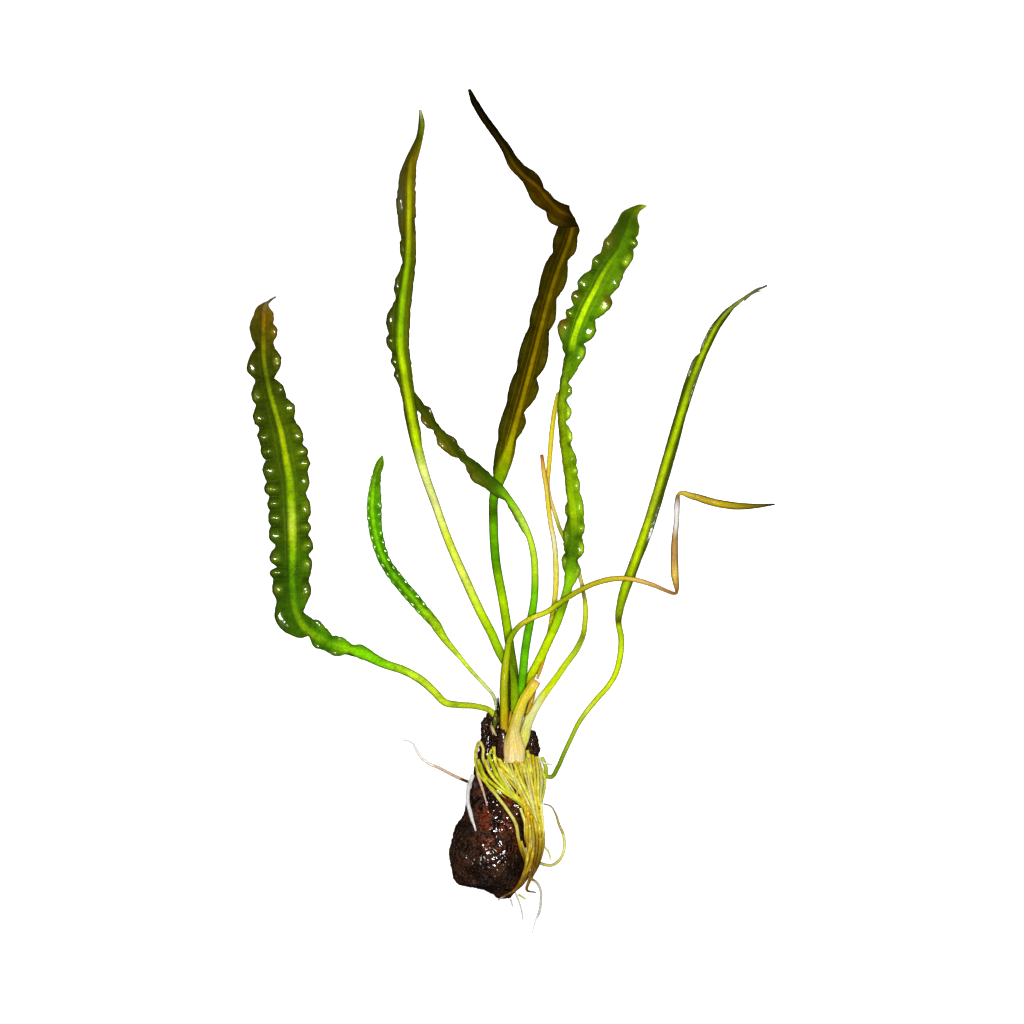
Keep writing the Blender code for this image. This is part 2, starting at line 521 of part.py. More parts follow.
def side_vectors(rows, along, fold=None):
    """Unit headings and the horizontal unit vectors to the left of them.

    At a fold the blade turns over: its left margin swings to the right of the
    heading by way of the crease.
    """
    heading = np.gradient(rows[:, :3], along, axis=0)
    heading /= np.linalg.norm(heading, axis=1)[:, None]
    angle = np.unwrap(np.arctan2(heading[:, 1], heading[:, 0])) + math.pi / 2
    if fold:
        place, crease, reach = fold
        before = along < place
        angle = np.where(before, angle, angle - math.pi)
        near = 1 - smoothstep(0.0, reach, np.abs(along - place))
        angle = np.unwrap(angle)
        angle += near * (crease - angle)
    side = np.stack([np.cos(angle), np.sin(angle), np.zeros_like(angle)], axis=1)
    return heading, side


def add_loops(name, loops, material):
    """One closed mesh from rings of points in millimetres, capped at both ends."""
    mesh = bmesh.new()
    rings = [[mesh.verts.new(Vector(p) * MM) for p in ring] for ring in loops]
    for lower, upper in zip(rings, rings[1:]):
        count = len(lower)
        for i in range(count):
            j = (i + 1) % count
            mesh.faces.new((lower[i], lower[j], upper[j], upper[i]))
    mesh.faces.new(list(reversed(rings[0])))
    mesh.faces.new(rings[-1])
    bmesh.ops.recalc_face_normals(mesh, faces=mesh.faces)
    data = bpy.data.meshes.new(name)
    mesh.to_mesh(data)
    mesh.free()
    data.shade_smooth()
    data.materials.append(material)
    item = bpy.data.objects.new(name, data)
    bpy.context.collection.objects.link(item)
    return item


def wing_edge(centre, side, heading, width, tilt, half_thickness, crimp, phase):
    """Upper and lower margin points of one half of a blade, crimped."""
    up = np.array([0.0, 0.0, 1.0])
    reach = side * math.cos(tilt) + up * math.sin(tilt)
    across = np.cross(heading, reach)
    if across[2] < 0:
        across = -across
    across /= np.linalg.norm(across)
    height, sway = crimp
    edge = centre + reach * (width - sway * math.cos(phase)) + across * height * math.sin(phase)
    upper = edge + across * half_thickness
    lower = edge - across * half_thickness
    upper[2] = max(upper[2], 2 * half_thickness)
    lower[2] = max(lower[2], 0.0)
    return upper, lower


def add_leaf(name, stations, material, blade_from, wave=6.0, crimp=(0.0, 0.0), fold=None,
             blade_step=BLADE_STEP):
    """A leaf: an oval stalk that widens into a blade with a raised midrib."""
    along = row_places(stations, blade_step, STALK_STEP)
    rows = read_curve(stations, along)
    heading, side = side_vectors(rows, along, fold)
    length = along[-1]
    loops = []
    for i, (x, y, z, left, right, tilt_left, tilt_right) in enumerate(rows):
        blade = float(smoothstep(blade_from - BLADE_SPREAD, blade_from + BLADE_SPREAD, along[i]))
        left = max(left, LEAST_BLADE_HALF)
        right = max(right, LEAST_BLADE_HALF)
        narrow = min(left, right)
        taper = 1 - RIB_TAPER * float(smoothstep(blade_from, length, along[i]))
        stalk_height = STALK_HEIGHT_SHARE * narrow
        stalk_edge = EDGE_SHARE * narrow
        rib = (1 - blade) * stalk_height + blade * min(narrow, MIDRIB_HEIGHT / 2 * taper)
        thin = (1 - blade) * stalk_edge + blade * min(stalk_edge, BLADE_THICKNESS / 2)
        centre = np.array([x, y, max(z, rib)])
        normal = np.cross(heading[i], side[i])
        normal /= np.linalg.norm(normal)
        if fold is None and normal[2] < 0:
            normal = -normal
        edges = []
        waves = along[i] / wave
        waves += WAVE_DRIFT * math.sin(WAVE_DRIFT_RATE * waves)
        margins = ((1, left, tilt_left, 0.0), (-1, right, tilt_right, RIGHT_MARGIN_LEAD))
        for sign, width, tilt, lead in margins:
            size = blade * min(1.0, width / FULL_CRIMP_HALF) * math.cos(math.radians(tilt))
            phase = 2 * math.pi * waves + lead
            edges.append(
                wing_edge(centre, sign * side[i], heading[i], width, math.radians(tilt), thin,
                          (crimp[0] * size, crimp[1] * size), phase)
            )
        (left_up, left_low), (right_up, right_low) = edges
        if fold and normal[2] < 0:
            left_up, left_low = left_low, left_up
            right_up, right_low = right_low, right_up
        top = centre + normal * rib
        bottom = centre - normal * rib
        loops.append([left_up, top, right_up, right_low, bottom, left_low])
    return add_loops(name, loops, material)


def tube_loops(rows, along, sides, flatness=1.0):
    """Rings about a route; each row holds x, y, z and the half width."""
    heading, side = side_vectors(rows, along)
    loops = []
    for (x, y, z, half), ahead, left in zip(rows, heading, side):
        half = max(half, LEAST_STALK_HALF)
        normal = np.cross(ahead, left)
        centre = np.array([x, y, z])
        ring = []
        for k in range(sides):
            turn = 2 * math.pi * (k + 0.5) / sides
            point = centre - left * half * math.sin(turn) - normal * half * flatness * math.cos(turn)
            point[2] = max(point[2], 0.0)
            ring.append(point)
        loops.append(ring)
    return loops


def add_stalk(name, stations, material, flatness=0.8, sides=STALK_SIDES, step=STALK_STEP):
    along = row_places(stations, step, step)
    rows = read_curve(stations, along)
    return add_loops(name, tube_loops(rows, along, sides, flatness), material)


def tuber_lump(x, y, z):
    """Slow swellings of the tuber's skin, in millimetres outwards."""
    return (
        0.45 * math.sin(0.62 * y + 0.35 * x)
        + 0.35 * math.sin(0.9 * x - 0.5 * z + 1.1)
        + 0.3 * math.sin(0.8 * z + 0.7 * y + 2.0)
    )


def tuber_ring(y, left, right, low, high, lift):
    ring = []
    for k in range(TUBER_SIDES):
        turn = 2 * math.pi * k / TUBER_SIDES
        x = (left + right) / 2 + (right - left) / 2 * math.cos(turn)
        z = (low + high) / 2 + (high - low) / 2 * math.sin(turn)
        swell = lift * tuber_lump(x, y, z)
        x += swell * math.cos(turn)
        z += swell * math.sin(turn)
        bears = z < BEARING_HEIGHT and low < FLOOR_RING_BELOW
        ring.append((x, y, 0.0 if bears else z))
    return ring


def add_old_leaf_base(centre, half_sizes):
    mesh = bmesh.new()
    bmesh.ops.create_uvsphere(mesh, u_segments=10, v_segments=6, radius=1.0)
    for vert in mesh.verts:
        vert.co = Vector(c + h * v for c, h, v in zip(centre, half_sizes, vert.co)) * MM
    data = bpy.data.meshes.new("old leaf base")
    mesh.to_mesh(data)
    mesh.free()
    item = bpy.data.objects.new("old leaf base", data)
    bpy.context.collection.objects.link(item)
    item.hide_render = True
    item.display_type = "WIRE"
    return item


def add_tuber(material):
    """The tuber, with the remains of old leaf bases grown onto its crown."""
    last = len(TUBER_RINGS) - 1
    loops = [
        tuber_ring(*ring, lift=END_RING_SWELL if i in (0, last) else 1.0)
        for i, ring in enumerate(TUBER_RINGS)
    ]
    tuber = add_loops("tuber", loops, material)
    for centre, half_sizes in OLD_LEAF_BASES:
        union = tuber.modifiers.new("grown on", "BOOLEAN")
        union.operation = "UNION"
        union.solver = "EXACT"
        union.object = add_old_leaf_base(centre, half_sizes)
    return tuber


def surface_of(item):
    graph = bpy.context.evaluated_depsgraph_get()
    return BVHTree.FromObject(item, graph)


def lay_root(route, radius, surface, laid):
    """Heights along a route that rests on the tuber, the floor and laid roots."""
    stations = [(x, y, 0.0) for x, y in route]
    along = np.arange(0.0, curve_length(stations), ROOT_SAMPLE)
    plan = read_curve(stations, along)[:, :2]
    heights = np.full(len(plan), radius)
    for i, (x, y) in enumerate(plan):
        for dx, dy in ((0, 0), (radius, 0), (-radius, 0), (0, radius), (0, -radius)):
            start = Vector((x + dx, y + dy, ABOVE_ALL)) * MM
            hit = surface.ray_cast(start, Vector((0, 0, -1)))[0]
            if hit:
                heights[i] = max(heights[i], hit.z / MM + ROOT_ON_TUBER * radius + TOUCH_GAP)
        for other, other_radius in laid:
            rest = ROOT_ON_ROOT * (radius + other_radius) + TOUCH_GAP
            apart = np.hypot(other[:, 0] - x, other[:, 1] - y)
            near = apart < rest
            if near.any():
                rise = other[near, 2] + np.sqrt(rest**2 - apart[near] ** 2)
                heights[i] = max(heights[i], rise.max())
    away = np.abs(along[:, None] - along[None, :])
    heights = (heights[None, :] - ROOT_STEEPEST * away).max(axis=1)
    laid.append((np.column_stack([plan, heights]), radius))
    return along, np.column_stack([plan, heights, np.full(len(plan), radius)])


def add_roots(surface):
    """The roots in their laying order, on the tuber and on each other."""
    yellow = tissue("root yellow")
    pale = tissue("root pale")
    base = LEAF_LONG_RIGHT[:LONG_RIGHT_BASE_STATIONS]
    places = np.arange(0.0, curve_length(base), ROOT_SAMPLE)
    laid = [(read_curve(base, places)[:, :3], ROOT_RADIUS)]
    for name, radius, route in ROOTS:
        along, dense = lay_root(route, radius, surface, laid)
        bends = np.diff(np.diff(dense[:, :3], axis=0), axis=0)
        turn = np.pad(np.linalg.norm(bends, axis=1) / ROOT_SAMPLE, 1)
        cost = np.cumsum(np.maximum(ROOT_SAMPLE / ROOT_STEP, turn / ROOT_MAX_TURN))
        count = max(3, int(round(cost[-1])))
        places = np.interp(np.linspace(cost[0], cost[-1], count + 1), cost, along)
        rows = np.column_stack([np.interp(places, along, column) for column in dense.T])
        rows[-1, 3] *= ROOT_TIP_SHARE
        material = pale if radius < PALE_ROOT_BELOW or "pale" in name else yellow
        add_loops(name, tube_loops(rows, places, ROOT_SIDES), material)


def add_leaves():
    """The seven leaves that still have a blade."""
    dark = tissue("leaf dark green")
    add_leaf("leaf_left_ruffled", LEAF_LEFT_RUFFLED, dark, blade_from=50.0, wave=6.6, crimp=(1.1, 0.6))
    add_leaf("leaf_small_left", LEAF_SMALL_LEFT, tissue("leaf fresh green"), blade_from=40.0,
             blade_step=3.4)
    add_leaf("leaf_tall", LEAF_TALL, dark, blade_from=88.0, wave=7.2, crimp=(0.8, 0.7))
    fold_at = curve_length(LEAF_BROWN_FOLDED[: BROWN_FOLD_STATION + 1])
    add_leaf("leaf_brown_folded", LEAF_BROWN_FOLDED, tissue("leaf olive brown"), blade_from=88.0,
             wave=12.0, crimp=(0.7, 0.5), fold=(fold_at, BROWN_FOLD_CREASE, BROWN_FOLD_REACH),
             blade_step=2.6)
    add_leaf("leaf_arched", LEAF_ARCHED, dark, blade_from=84.0, wave=7.5, crimp=(0.5, 0.6),
             blade_step=1.9)
    add_leaf("leaf_broad_ruffled", LEAF_BROAD_RUFFLED, tissue("leaf bright green"), blade_from=52.0,
             wave=6.6, crimp=(1.0, 0.7))
    add_leaf("leaf_long_right", LEAF_LONG_RIGHT, tissue("leaf long green"), blade_from=70.0,
             blade_step=6.0)


def add_wilting_stalks():
    """The cut crown stub and the stalks that have wilted."""
    straw = tissue("stalk straw")
    add_stalk("crown_stub", CROWN_STUB, tissue("crown tan"), flatness=0.62, sides=10, step=3.0)
    add_stalk("stem_dying", STEM_DYING, tissue("stalk olive"))
    add_stalk("stem_yellow", STEM_YELLOW, straw)
    add_stalk("leaf_yellowed", LEAF_YELLOWED, tissue("stalk sallow"))
    add_stalk("bract", BRACT, straw, flatness=0.6, sides=5, step=2.5)
    add_stalk("sheath", SHEATH, straw, flatness=0.6, sides=5, step=2.5)


clear_scene()
tuber = add_tuber(tissue("tuber black"))
add_leaves()
add_wilting_stalks()
add_roots(surface_of(tuber))
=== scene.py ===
import json
import math

import bmesh
import bpy
import numpy as np
from mathutils import Matrix, Vector
from mathutils.bvhtree import BVHTree


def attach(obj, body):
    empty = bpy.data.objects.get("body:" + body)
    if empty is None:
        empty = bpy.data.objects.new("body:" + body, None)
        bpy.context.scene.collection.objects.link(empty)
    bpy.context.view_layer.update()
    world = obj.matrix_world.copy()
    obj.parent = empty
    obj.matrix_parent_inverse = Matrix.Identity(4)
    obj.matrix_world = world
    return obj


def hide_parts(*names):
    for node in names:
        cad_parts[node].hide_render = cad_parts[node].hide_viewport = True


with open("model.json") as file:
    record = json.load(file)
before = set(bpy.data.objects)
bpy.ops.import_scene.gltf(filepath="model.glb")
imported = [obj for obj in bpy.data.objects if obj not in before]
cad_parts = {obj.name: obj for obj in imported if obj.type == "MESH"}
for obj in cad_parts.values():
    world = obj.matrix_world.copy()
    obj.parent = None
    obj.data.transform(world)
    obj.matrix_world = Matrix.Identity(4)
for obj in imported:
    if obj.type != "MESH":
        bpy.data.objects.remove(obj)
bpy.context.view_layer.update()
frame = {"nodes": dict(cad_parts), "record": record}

# Floor, lamps and camera: a plain pale floor that glows a little, as a light table
# does, two lamps near the lens for the wet glints, four broad lamps that give no
# sheen, and a long lens straight above. The floor lights nothing from below.
MM = 0.001
FRAME_WIDTH = 341.33 * MM
FRAME_CENTRE = (7.33 * MM, 112.67 * MM)
CAMERA_HEIGHT = 6.0
SENSOR = 36.0
FLOOR_REACH = 4.0
FLOOR_LEVEL = -0.1 * MM


def feed(node, inputs):
    """Sets inputs of a node to values, or links sockets to them."""
    for key, value in inputs.items():
        if isinstance(value, bpy.types.NodeSocket):
            node.id_data.links.new(value, node.inputs[key])
        else:
            node.inputs[key].default_value = value


def put(tree, kind, inputs=None, **settings):
    """A new node with its settings made and its inputs fed."""
    made = tree.nodes.new(kind)
    for key, value in settings.items():
        setattr(made, key, value)
    feed(made, inputs or {})
    return made


def lift(tree, value, low, high, start=0.0, end=1.0):
    """A value mapped smoothly from low..high to start..end."""
    inputs = {"Value": value, "From Min": low, "From Max": high, "To Min": start, "To Max": end}
    return put(tree, "ShaderNodeMapRange", inputs, interpolation_type="SMOOTHSTEP").outputs["Result"]


def blend(tree, share, first, second, blend_type="MIX"):
    inputs = {0: share, 6: first, 7: second}
    return put(tree, "ShaderNodeMix", inputs, data_type="RGBA", blend_type=blend_type).outputs[2]


def own_place(tree):
    """Where a point lies in its piece's own coordinates."""
    return put(tree, "ShaderNodeTexCoord").outputs["Object"]


def speckle(tree, size_mm, detail=3.0, rough=0.55, place=None, stretch=None):
    """Noise of a size in millimetres, over the piece's own coordinates or a given place."""
    place = place or own_place(tree)
    if stretch:
        place = put(tree, "ShaderNodeVectorMath", {0: place, 1: stretch}, operation="MULTIPLY").outputs[0]
    inputs = {"Vector": place, "Scale": 1 / (size_mm * MM), "Detail": detail, "Roughness": rough}
    return put(tree, "ShaderNodeTexNoise", inputs).outputs["Fac"]


def finish_material(name, build, coat_roughness=0.1, specular=0.03, gleam=(1.0, 1.0, 1.0),
                    film_index=1.5):
    """A Principled material; build gives its colour, roughness, coat, height and depth."""
    material = bpy.data.materials.new(name)
    material.use_nodes = True
    tree = material.node_tree
    colour, rough, wet, height, depth = build(tree)
    bump = put(tree, "ShaderNodeBump", {"Height": height, "Distance": depth, "Strength": 1.0})
    feed(tree.nodes["Principled BSDF"], {
        "Base Color": colour, "Roughness": rough, "Specular IOR Level": specular,
        "Specular Tint": (*gleam, 1.0), "Coat Weight": wet, "Coat Roughness": coat_roughness,
        "Coat IOR": film_index, "Normal": bump.outputs[0],
    })
    return material


def pale_paper(tree):
    grain = speckle(tree, 6.0)
    colour = blend(tree, grain, (0.93, 0.93, 0.93, 1), (0.95, 0.95, 0.95, 1))
    return colour, lift(tree, grain, 0, 1, 0.75, 0.85), 0.0, grain, 0.02 * MM


def add_object(name, data):
    made = bpy.data.objects.new(name, data)
    bpy.context.collection.objects.link(made)
    return made


floor_mesh = bpy.data.meshes.new("floor")
corners = ((-1, -1), (1, -1), (1, 1), (-1, 1))
floor_mesh.from_pydata([(x * FLOOR_REACH, y * FLOOR_REACH, FLOOR_LEVEL) for x, y in corners], [],
                       [(0, 1, 2, 3)])
paper = finish_material("pale paper", pale_paper)
feed(paper.node_tree.nodes["Principled BSDF"], {"Emission Color": (1, 1, 1, 1), "Emission Strength": 0.7})
floor_mesh.materials.append(paper)
floor = add_object("floor", floor_mesh)
floor.visible_diffuse = False
floor.visible_glossy = False

world = bpy.data.worlds.new("pale room")
world.use_nodes = True
feed(world.node_tree.nodes["Background"], {"Color": (0.95, 0.97, 1.0, 1), "Strength": 0.06})
bpy.context.scene.world = world


def add_lamp(name, place, size, power, sheen=True, aim=(0.0, 0.1, 0.0)):
    data = bpy.data.lights.new(name, "AREA")
    data.shape = "DISK"
    data.size = size
    data.energy = power
    lamp = add_object(name, data)
    lamp.location = place
    lamp.rotation_mode = "QUATERNION"
    lamp.rotation_quaternion = (Vector(aim) - Vector(place)).to_track_quat("-Z", "Y")
    lamp.visible_glossy = sheen


add_lamp("flash lamp", (0.12, -0.02, 1.5), 0.26, 18.0)
add_lamp("second flash lamp", (-0.16, 0.30, 1.4), 0.2, 10.0)
for i, turn in enumerate(map(math.radians, (35, 125, 215, 305))):
    place = (1.1 * math.cos(turn), 0.1 + 1.1 * math.sin(turn), 0.75)
    add_lamp(f"soft lamp {i + 1}", place, 0.9, 1.3, sheen=False)

camera_data = bpy.data.cameras.new("camera from above")
camera_data.sensor_width = SENSOR
camera_data.lens = SENSOR * CAMERA_HEIGHT / FRAME_WIDTH
camera_data.clip_end = 60.0
camera = add_object("camera from above", camera_data)
camera.location = (*FRAME_CENTRE, CAMERA_HEIGHT)
bpy.context.scene.camera = camera
bpy.context.scene.view_settings.view_transform = "Standard"


# Tuber: the plant's starchy root stock, which carries every other piece. Its corky
# skin is near black, lumpy and pitted, with rust-red patches, small scars of old
# roots, and the dark remains of old leaf bases grown on its crown.
FLOAT, COLOUR, SHAPE, SKIN = ("NodeSocket" + kind for kind in ("Float", "Color", "Geometry", "Material"))


def start_group(name, kind, inputs, outputs):
    """An empty node group with named sockets, what it is given, and its result node."""
    group = bpy.data.node_groups.new(name, kind)
    if kind == "GeometryNodeTree":
        group.is_modifier = True
    for in_out, sockets in (("INPUT", inputs), ("OUTPUT", outputs)):
        for socket_name, socket_type, *default in sockets:
            socket = group.interface.new_socket(socket_name, in_out=in_out, socket_type=socket_type)
            if default:
                socket.default_value = default[0]
    return group, group.nodes.new("NodeGroupInput").outputs, group.nodes.new("NodeGroupOutput")


def tint(red, green, blue):
    """A colour as it looks under these lamps, 0 to 255, as a surface colour."""
    lamp_level, palest = 1.5, 0.9
    return tuple(min(palest, (c / 255) ** 2.2 / lamp_level) for c in (red, green, blue)) + (1.0,)


def calc(tree, operation, *values, clamp=False):
    """The output of one Math node."""
    values = dict(enumerate(values))
    return put(tree, "ShaderNodeMath", values, operation=operation, use_clamp=clamp).outputs[0]


def chain(operation):
    """A function that works each further value into the first one in turn."""
    def work(tree, first, *others):
        for other in others:
            first = calc(tree, operation, first, other)
        return first

    return work


plus, minus, times = chain("ADD"), chain("SUBTRACT"), chain("MULTIPLY")


def split(tree, vector):
    """The three parts of a vector."""
    return put(tree, "ShaderNodeSeparateXYZ", {0: vector}).outputs


def facing_up(tree):
    """1 where the surface faces up, 0 where it is upright."""
    return split(tree, put(tree, "ShaderNodeNewGeometry").outputs["Normal"])[2]


def wet_film_group():
    """Where water stands on a surface: in patches, and only on what faces up."""
    tree, given, result = start_group(
        "wet film", "ShaderNodeTree",
        [("Patch size", FLOAT, 3 * MM), ("Dry share", FLOAT, 0.25), ("Most", FLOAT, 1.0)],
        [("Wet", FLOAT)],
    )
    scale = calc(tree, "DIVIDE", 1.0, given["Patch size"])
    patches = put(tree, "ShaderNodeTexNoise", {"Vector": own_place(tree), "Scale": scale, "Detail": 2.0})
    film = lift(tree, patches.outputs["Fac"], 0.4, 0.6, given["Dry share"], 1.0)
    feed(result, {0: times(tree, film, lift(tree, facing_up(tree), 0.35, 0.8), given["Most"])})
    return tree


wet_film = wet_film_group()


def wet_coat(tree, patch_mm, dry_share, most=1.0):
    inputs = {"Patch size": patch_mm * MM, "Dry share": dry_share, "Most": most}
    return put(tree, "ShaderNodeGroup", inputs, node_tree=wet_film).outputs[0]


def push_out(tree, shape, height):
    """Moves the points of a shape along their normals."""
    normal = put(tree, "GeometryNodeInputNormal").outputs[0]
    push = put(tree, "ShaderNodeVectorMath", {0: normal, "Scale": height}, operation="SCALE").outputs[0]
    return put(tree, "GeometryNodeSetPosition", {"Geometry": shape, "Offset": push}).outputs[0]


def end_shape(tree, shape, skin, result):
    """Moves what lies under the floor up to it, then ends the tree in real, painted mesh."""
    place = split(tree, put(tree, "GeometryNodeInputPosition").outputs[0])
    height = calc(tree, "MAXIMUM", place[2], 0.0)
    raised = put(tree, "ShaderNodeCombineXYZ", {0: place[0], 1: place[1], 2: height}).outputs[0]
    shape = put(tree, "GeometryNodeSetPosition", {"Geometry": shape, "Position": raised}).outputs[0]
    shape = put(tree, "GeometryNodeRealizeInstances", {"Geometry": shape}).outputs[0]
    shape = put(tree, "GeometryNodeSetMaterial", {"Geometry": shape, "Material": skin}).outputs[0]
    feed(result, {0: shape})
    return tree


def use_tree(piece, group, settings):
    """Runs a geometry tree on a piece and leaves the result as its plain mesh."""
    modifier = piece.modifiers.new("shaping", "NODES")
    modifier.node_group = group
    for item in group.interface.items_tree:
        if item.item_type == "SOCKET" and item.in_out == "INPUT" and item.name in settings:
            modifier[item.identifier] = settings[item.name]
    graph = bpy.context.evaluated_depsgraph_get()
    made = bpy.data.meshes.new_from_object(
        piece.evaluated_get(graph), preserve_all_data_layers=True, depsgraph=graph
    )
    made.name = piece.name
    piece.modifiers.clear()
    piece.data = made
    made.shade_smooth()


def tuber_skin_tree():
    """Lumps, pits and warts, fibres on the crown, and a scatter of root scars."""
    tree, given, result = start_group(
        "tuber skin", "GeometryNodeTree",
        [("Shape", SHAPE), ("Lump height", FLOAT, 0.6 * MM), ("Pit depth", FLOAT, 0.3 * MM),
         ("Fibre height", FLOAT, 0.9 * MM), ("Scar size", FLOAT, 0.5 * MM), ("Scars", FLOAT, 40000.0),
         ("Seed", "NodeSocketInt", 3), ("Skin", SKIN)],
        [("Shape", SHAPE)],
    )
    place = put(tree, "GeometryNodeInputPosition").outputs[0]
    lumps = speckle(tree, 5.5, 2.0, 0.5, place)
    grain = speckle(tree, 1.6, 4.0, 0.65, place)
    cells = put(tree, "ShaderNodeTexVoronoi", {"Vector": place, "Scale": 900.0}).outputs["Distance"]
    swell = times(tree, minus(tree, lumps, 0.55), given["Lump height"], 2.0)
    pits = times(tree, minus(tree, grain, 0.6), given["Pit depth"], 2.6)
    warts = times(tree, minus(tree, 0.45, cells), given["Pit depth"], 1.8)
    fibres = minus(tree, speckle(tree, 1.3, 2.0, 0.5, place, (1.0, 0.3, 1.0)), 0.5)
    crown = times(tree, lift(tree, split(tree, place)[1], 0.027, 0.034), given["Fibre height"])
    out = plus(tree, swell, pits, warts, times(tree, fibres, 2.0, crown))
    skin = push_out(tree, given["Shape"], out)
    spots = put(tree, "GeometryNodeDistributePointsOnFaces",
                {"Mesh": skin, "Density": given["Scars"], "Seed": given["Seed"]}).outputs
    bead = put(tree, "GeometryNodeMeshIcoSphere", {"Radius": 1.0, "Subdivisions": 2}).outputs["Mesh"]
    size = put(tree, "FunctionNodeRandomValue", {2: 0.35, 3: 1.0, "Seed": given["Seed"]},
               data_type="FLOAT").outputs[1]
    wide = times(tree, size, given["Scar size"])
    squat = put(tree, "ShaderNodeCombineXYZ", {0: wide, 1: wide, 2: times(tree, wide, 0.55)}).outputs[0]
    beads = put(tree, "GeometryNodeInstanceOnPoints",
                {"Points": spots["Points"], "Instance": bead, "Rotation": spots["Rotation"],
                 "Scale": squat}).outputs[0]
    solid = put(tree, "GeometryNodeRealizeInstances", {"Geometry": beads}).outputs[0]
    both = put(tree, "GeometryNodeJoinGeometry")
    for shape in (skin, solid):
        feed(both, {0: shape})
    return end_shape(tree, both.outputs[0], given["Skin"], result)


def tuber_skin(tree):
    """Near black cork, dry on its left side, with a rust-red band, pale crown flecks that are painted
    glints, and near-black specks painted as pit shade.
    """
    place = own_place(tree)
    across, along, _ = split(tree, place)
    blotch = speckle(tree, 6.0, 3.0, 0.6, place)
    grain = speckle(tree, 1.3, 5.0, 0.7, place)
    streak = speckle(tree, 3.2, 4.0, 0.65, place, (1.0, 0.45, 1.0))
    broken = speckle(tree, 1.1, 3.0, 0.65, place)
    dark = blend(tree, lift(tree, grain, 0.4, 0.7), tint(26, 12, 6), tint(90, 54, 32))
    brown = blend(tree, lift(tree, blotch, 0.45, 0.7), dark, tint(116, 72, 44))
    dry_side = times(tree, lift(tree, across, -0.011, -0.003, 0.55, 0.0), lift(tree, grain, 0.35, 0.6))
    brown = blend(tree, dry_side, brown, tint(96, 62, 42))
    off_band = calc(tree, "ABSOLUTE", minus(tree, across, 0.002))
    rust = times(tree, lift(tree, streak, 0.47, 0.53), lift(tree, off_band, 0.003, 0.0085, 1.0, 0.0),
                 lift(tree, along, -0.003, 0.004), lift(tree, along, 0.021, 0.03, 1.0, 0.1),
                 lift(tree, broken, 0.36, 0.5))
    red = blend(tree, lift(tree, grain, 0.45, 0.65), tint(184, 72, 34), tint(224, 138, 92))
    colour = blend(tree, rust, brown, red)
    # Painted glints: pale flecks on the crown stand for the white sparkles on the wet old leaf bases.
    painted_glint_flecks = times(tree, lift(tree, speckle(tree, 0.6, 2.0, 0.6, place), 0.56, 0.64, 0.0, 0.7),
                   lift(tree, along, 0.027, 0.033))
    colour = blend(tree, painted_glint_flecks, colour, tint(170, 140, 122))
    # Painted shade: near-black specks stand for the shade inside small pits.
    pits = lift(tree, speckle(tree, 0.7, 2.0, 0.6, place), 0.3, 0.6)
    colour = blend(tree, times(tree, pits, 0.55), tint(18, 8, 5), colour)
    dry = lift(tree, facing_up(tree), 0.2, 0.7, 0.6, 0.0)
    rough = plus(tree, lift(tree, blotch, 0.35, 0.65, 0.14, 0.3), dry)
    pebbles = [put(tree, "ShaderNodeTexVoronoi", {"Vector": place, "Scale": scale, "Smoothness": 0.35},
                   feature="SMOOTH_F1").outputs["Distance"] for scale in (950.0, 2100.0)]
    small = calc(tree, "MULTIPLY_ADD", pebbles[1], -0.35, times(tree, grain, 0.3))
    return colour, rough, wet_coat(tree, 4, 0.2), minus(tree, small, pebbles[0]), 0.8 * MM


def seat(piece, slot, *nodes):
    """The piece rides on the plant and stands for its nodes. The slot is not used."""
    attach(piece, "root")
    if nodes:
        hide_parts(*nodes)


tuber_node = frame["nodes"]["tuber"]
tuber_data = tuber_node.data.copy()
welded = bmesh.new()
welded.from_mesh(tuber_data)
bmesh.ops.remove_doubles(welded, verts=welded.verts, dist=0.001 * MM)
OLD_BASES = (
    ((-2.0, 41.6, 6.8), (1.5, 2.2, 2.2)),
    ((0.9, 40.6, 6.8), (1.7, 4.2, 2.4)),
    ((2.6, 42.6, 6.2), (1.0, 3.6, 1.8)),
    ((-0.4, 44.2, 5.6), (1.0, 2.0, 1.5)),
    ((14.2, 33.3, 6.8), (2.4, 4.6, 3.0)),
)
for place, half in OLD_BASES:
    shift = Matrix.Translation(Vector(place) * MM)
    shape = Matrix.Diagonal((*(Vector(half) * MM), 1.0))
    bmesh.ops.create_icosphere(welded, subdivisions=3, radius=1.0, matrix=shift @ shape)
welded.to_mesh(tuber_data)
welded.free()
tuber_data.materials.clear()
tuber = add_object("tuber_body", tuber_data)
for kind, settings in (
    ("REMESH", {"mode": "VOXEL", "voxel_size": 0.4 * MM}),
    ("SMOOTH", {"iterations": 8, "factor": 0.5}),
):
    modifier = tuber.modifiers.new(kind.lower(), kind)
    for key, value in settings.items():
        setattr(modifier, key, value)
tuber_cork = finish_material("tuber skin", tuber_skin, 0.08, 0.12, film_index=1.65)
use_tree(tuber, tuber_skin_tree(), {"Skin": tuber_cork, "Seed": 3})
seat(tuber, "tuber_skin", "tuber")


# Leaves: each is one strap of thin tissue on an oval stalk, grown from the
# crown. A raised midrib and fine side veins run along it, and the margins are
# ruffled, which is what gives the plant its look.
RING_TURN = math.radians(9)
HALF_COLUMNS = 15
RIB_COLUMNS = 0.3
RIB_REACH = 1.3
BLADE_EASE = 8.0
BROAD_SPAN = 10.0
CURL = 0.8
NARROWEST = 0.13
THICKNESS, EDGE_THINNING = 0.20, 0.07
STALK_RISE, RIB_RISE, STEEPEST_RIB = 0.82, 0.62, 0.75
TIP_THINNING = 0.65
RIB_FOOT, RIB_COLOUR_REACH, LEAST_FLESH = 1.25, 1.05, 1.02
FULL_RUFFLE_REACH = 3.0
LOBES_START, LOBES_END = 5, 6
CREST_RANGE = (0.6, 1.25)
EDGE_BITE = 0.25
UNEVEN_STEP, UNEVENNESS = 0.9, 0.12
UNDER_SIDE = 2.0
LOWEST_POINT = 0.03


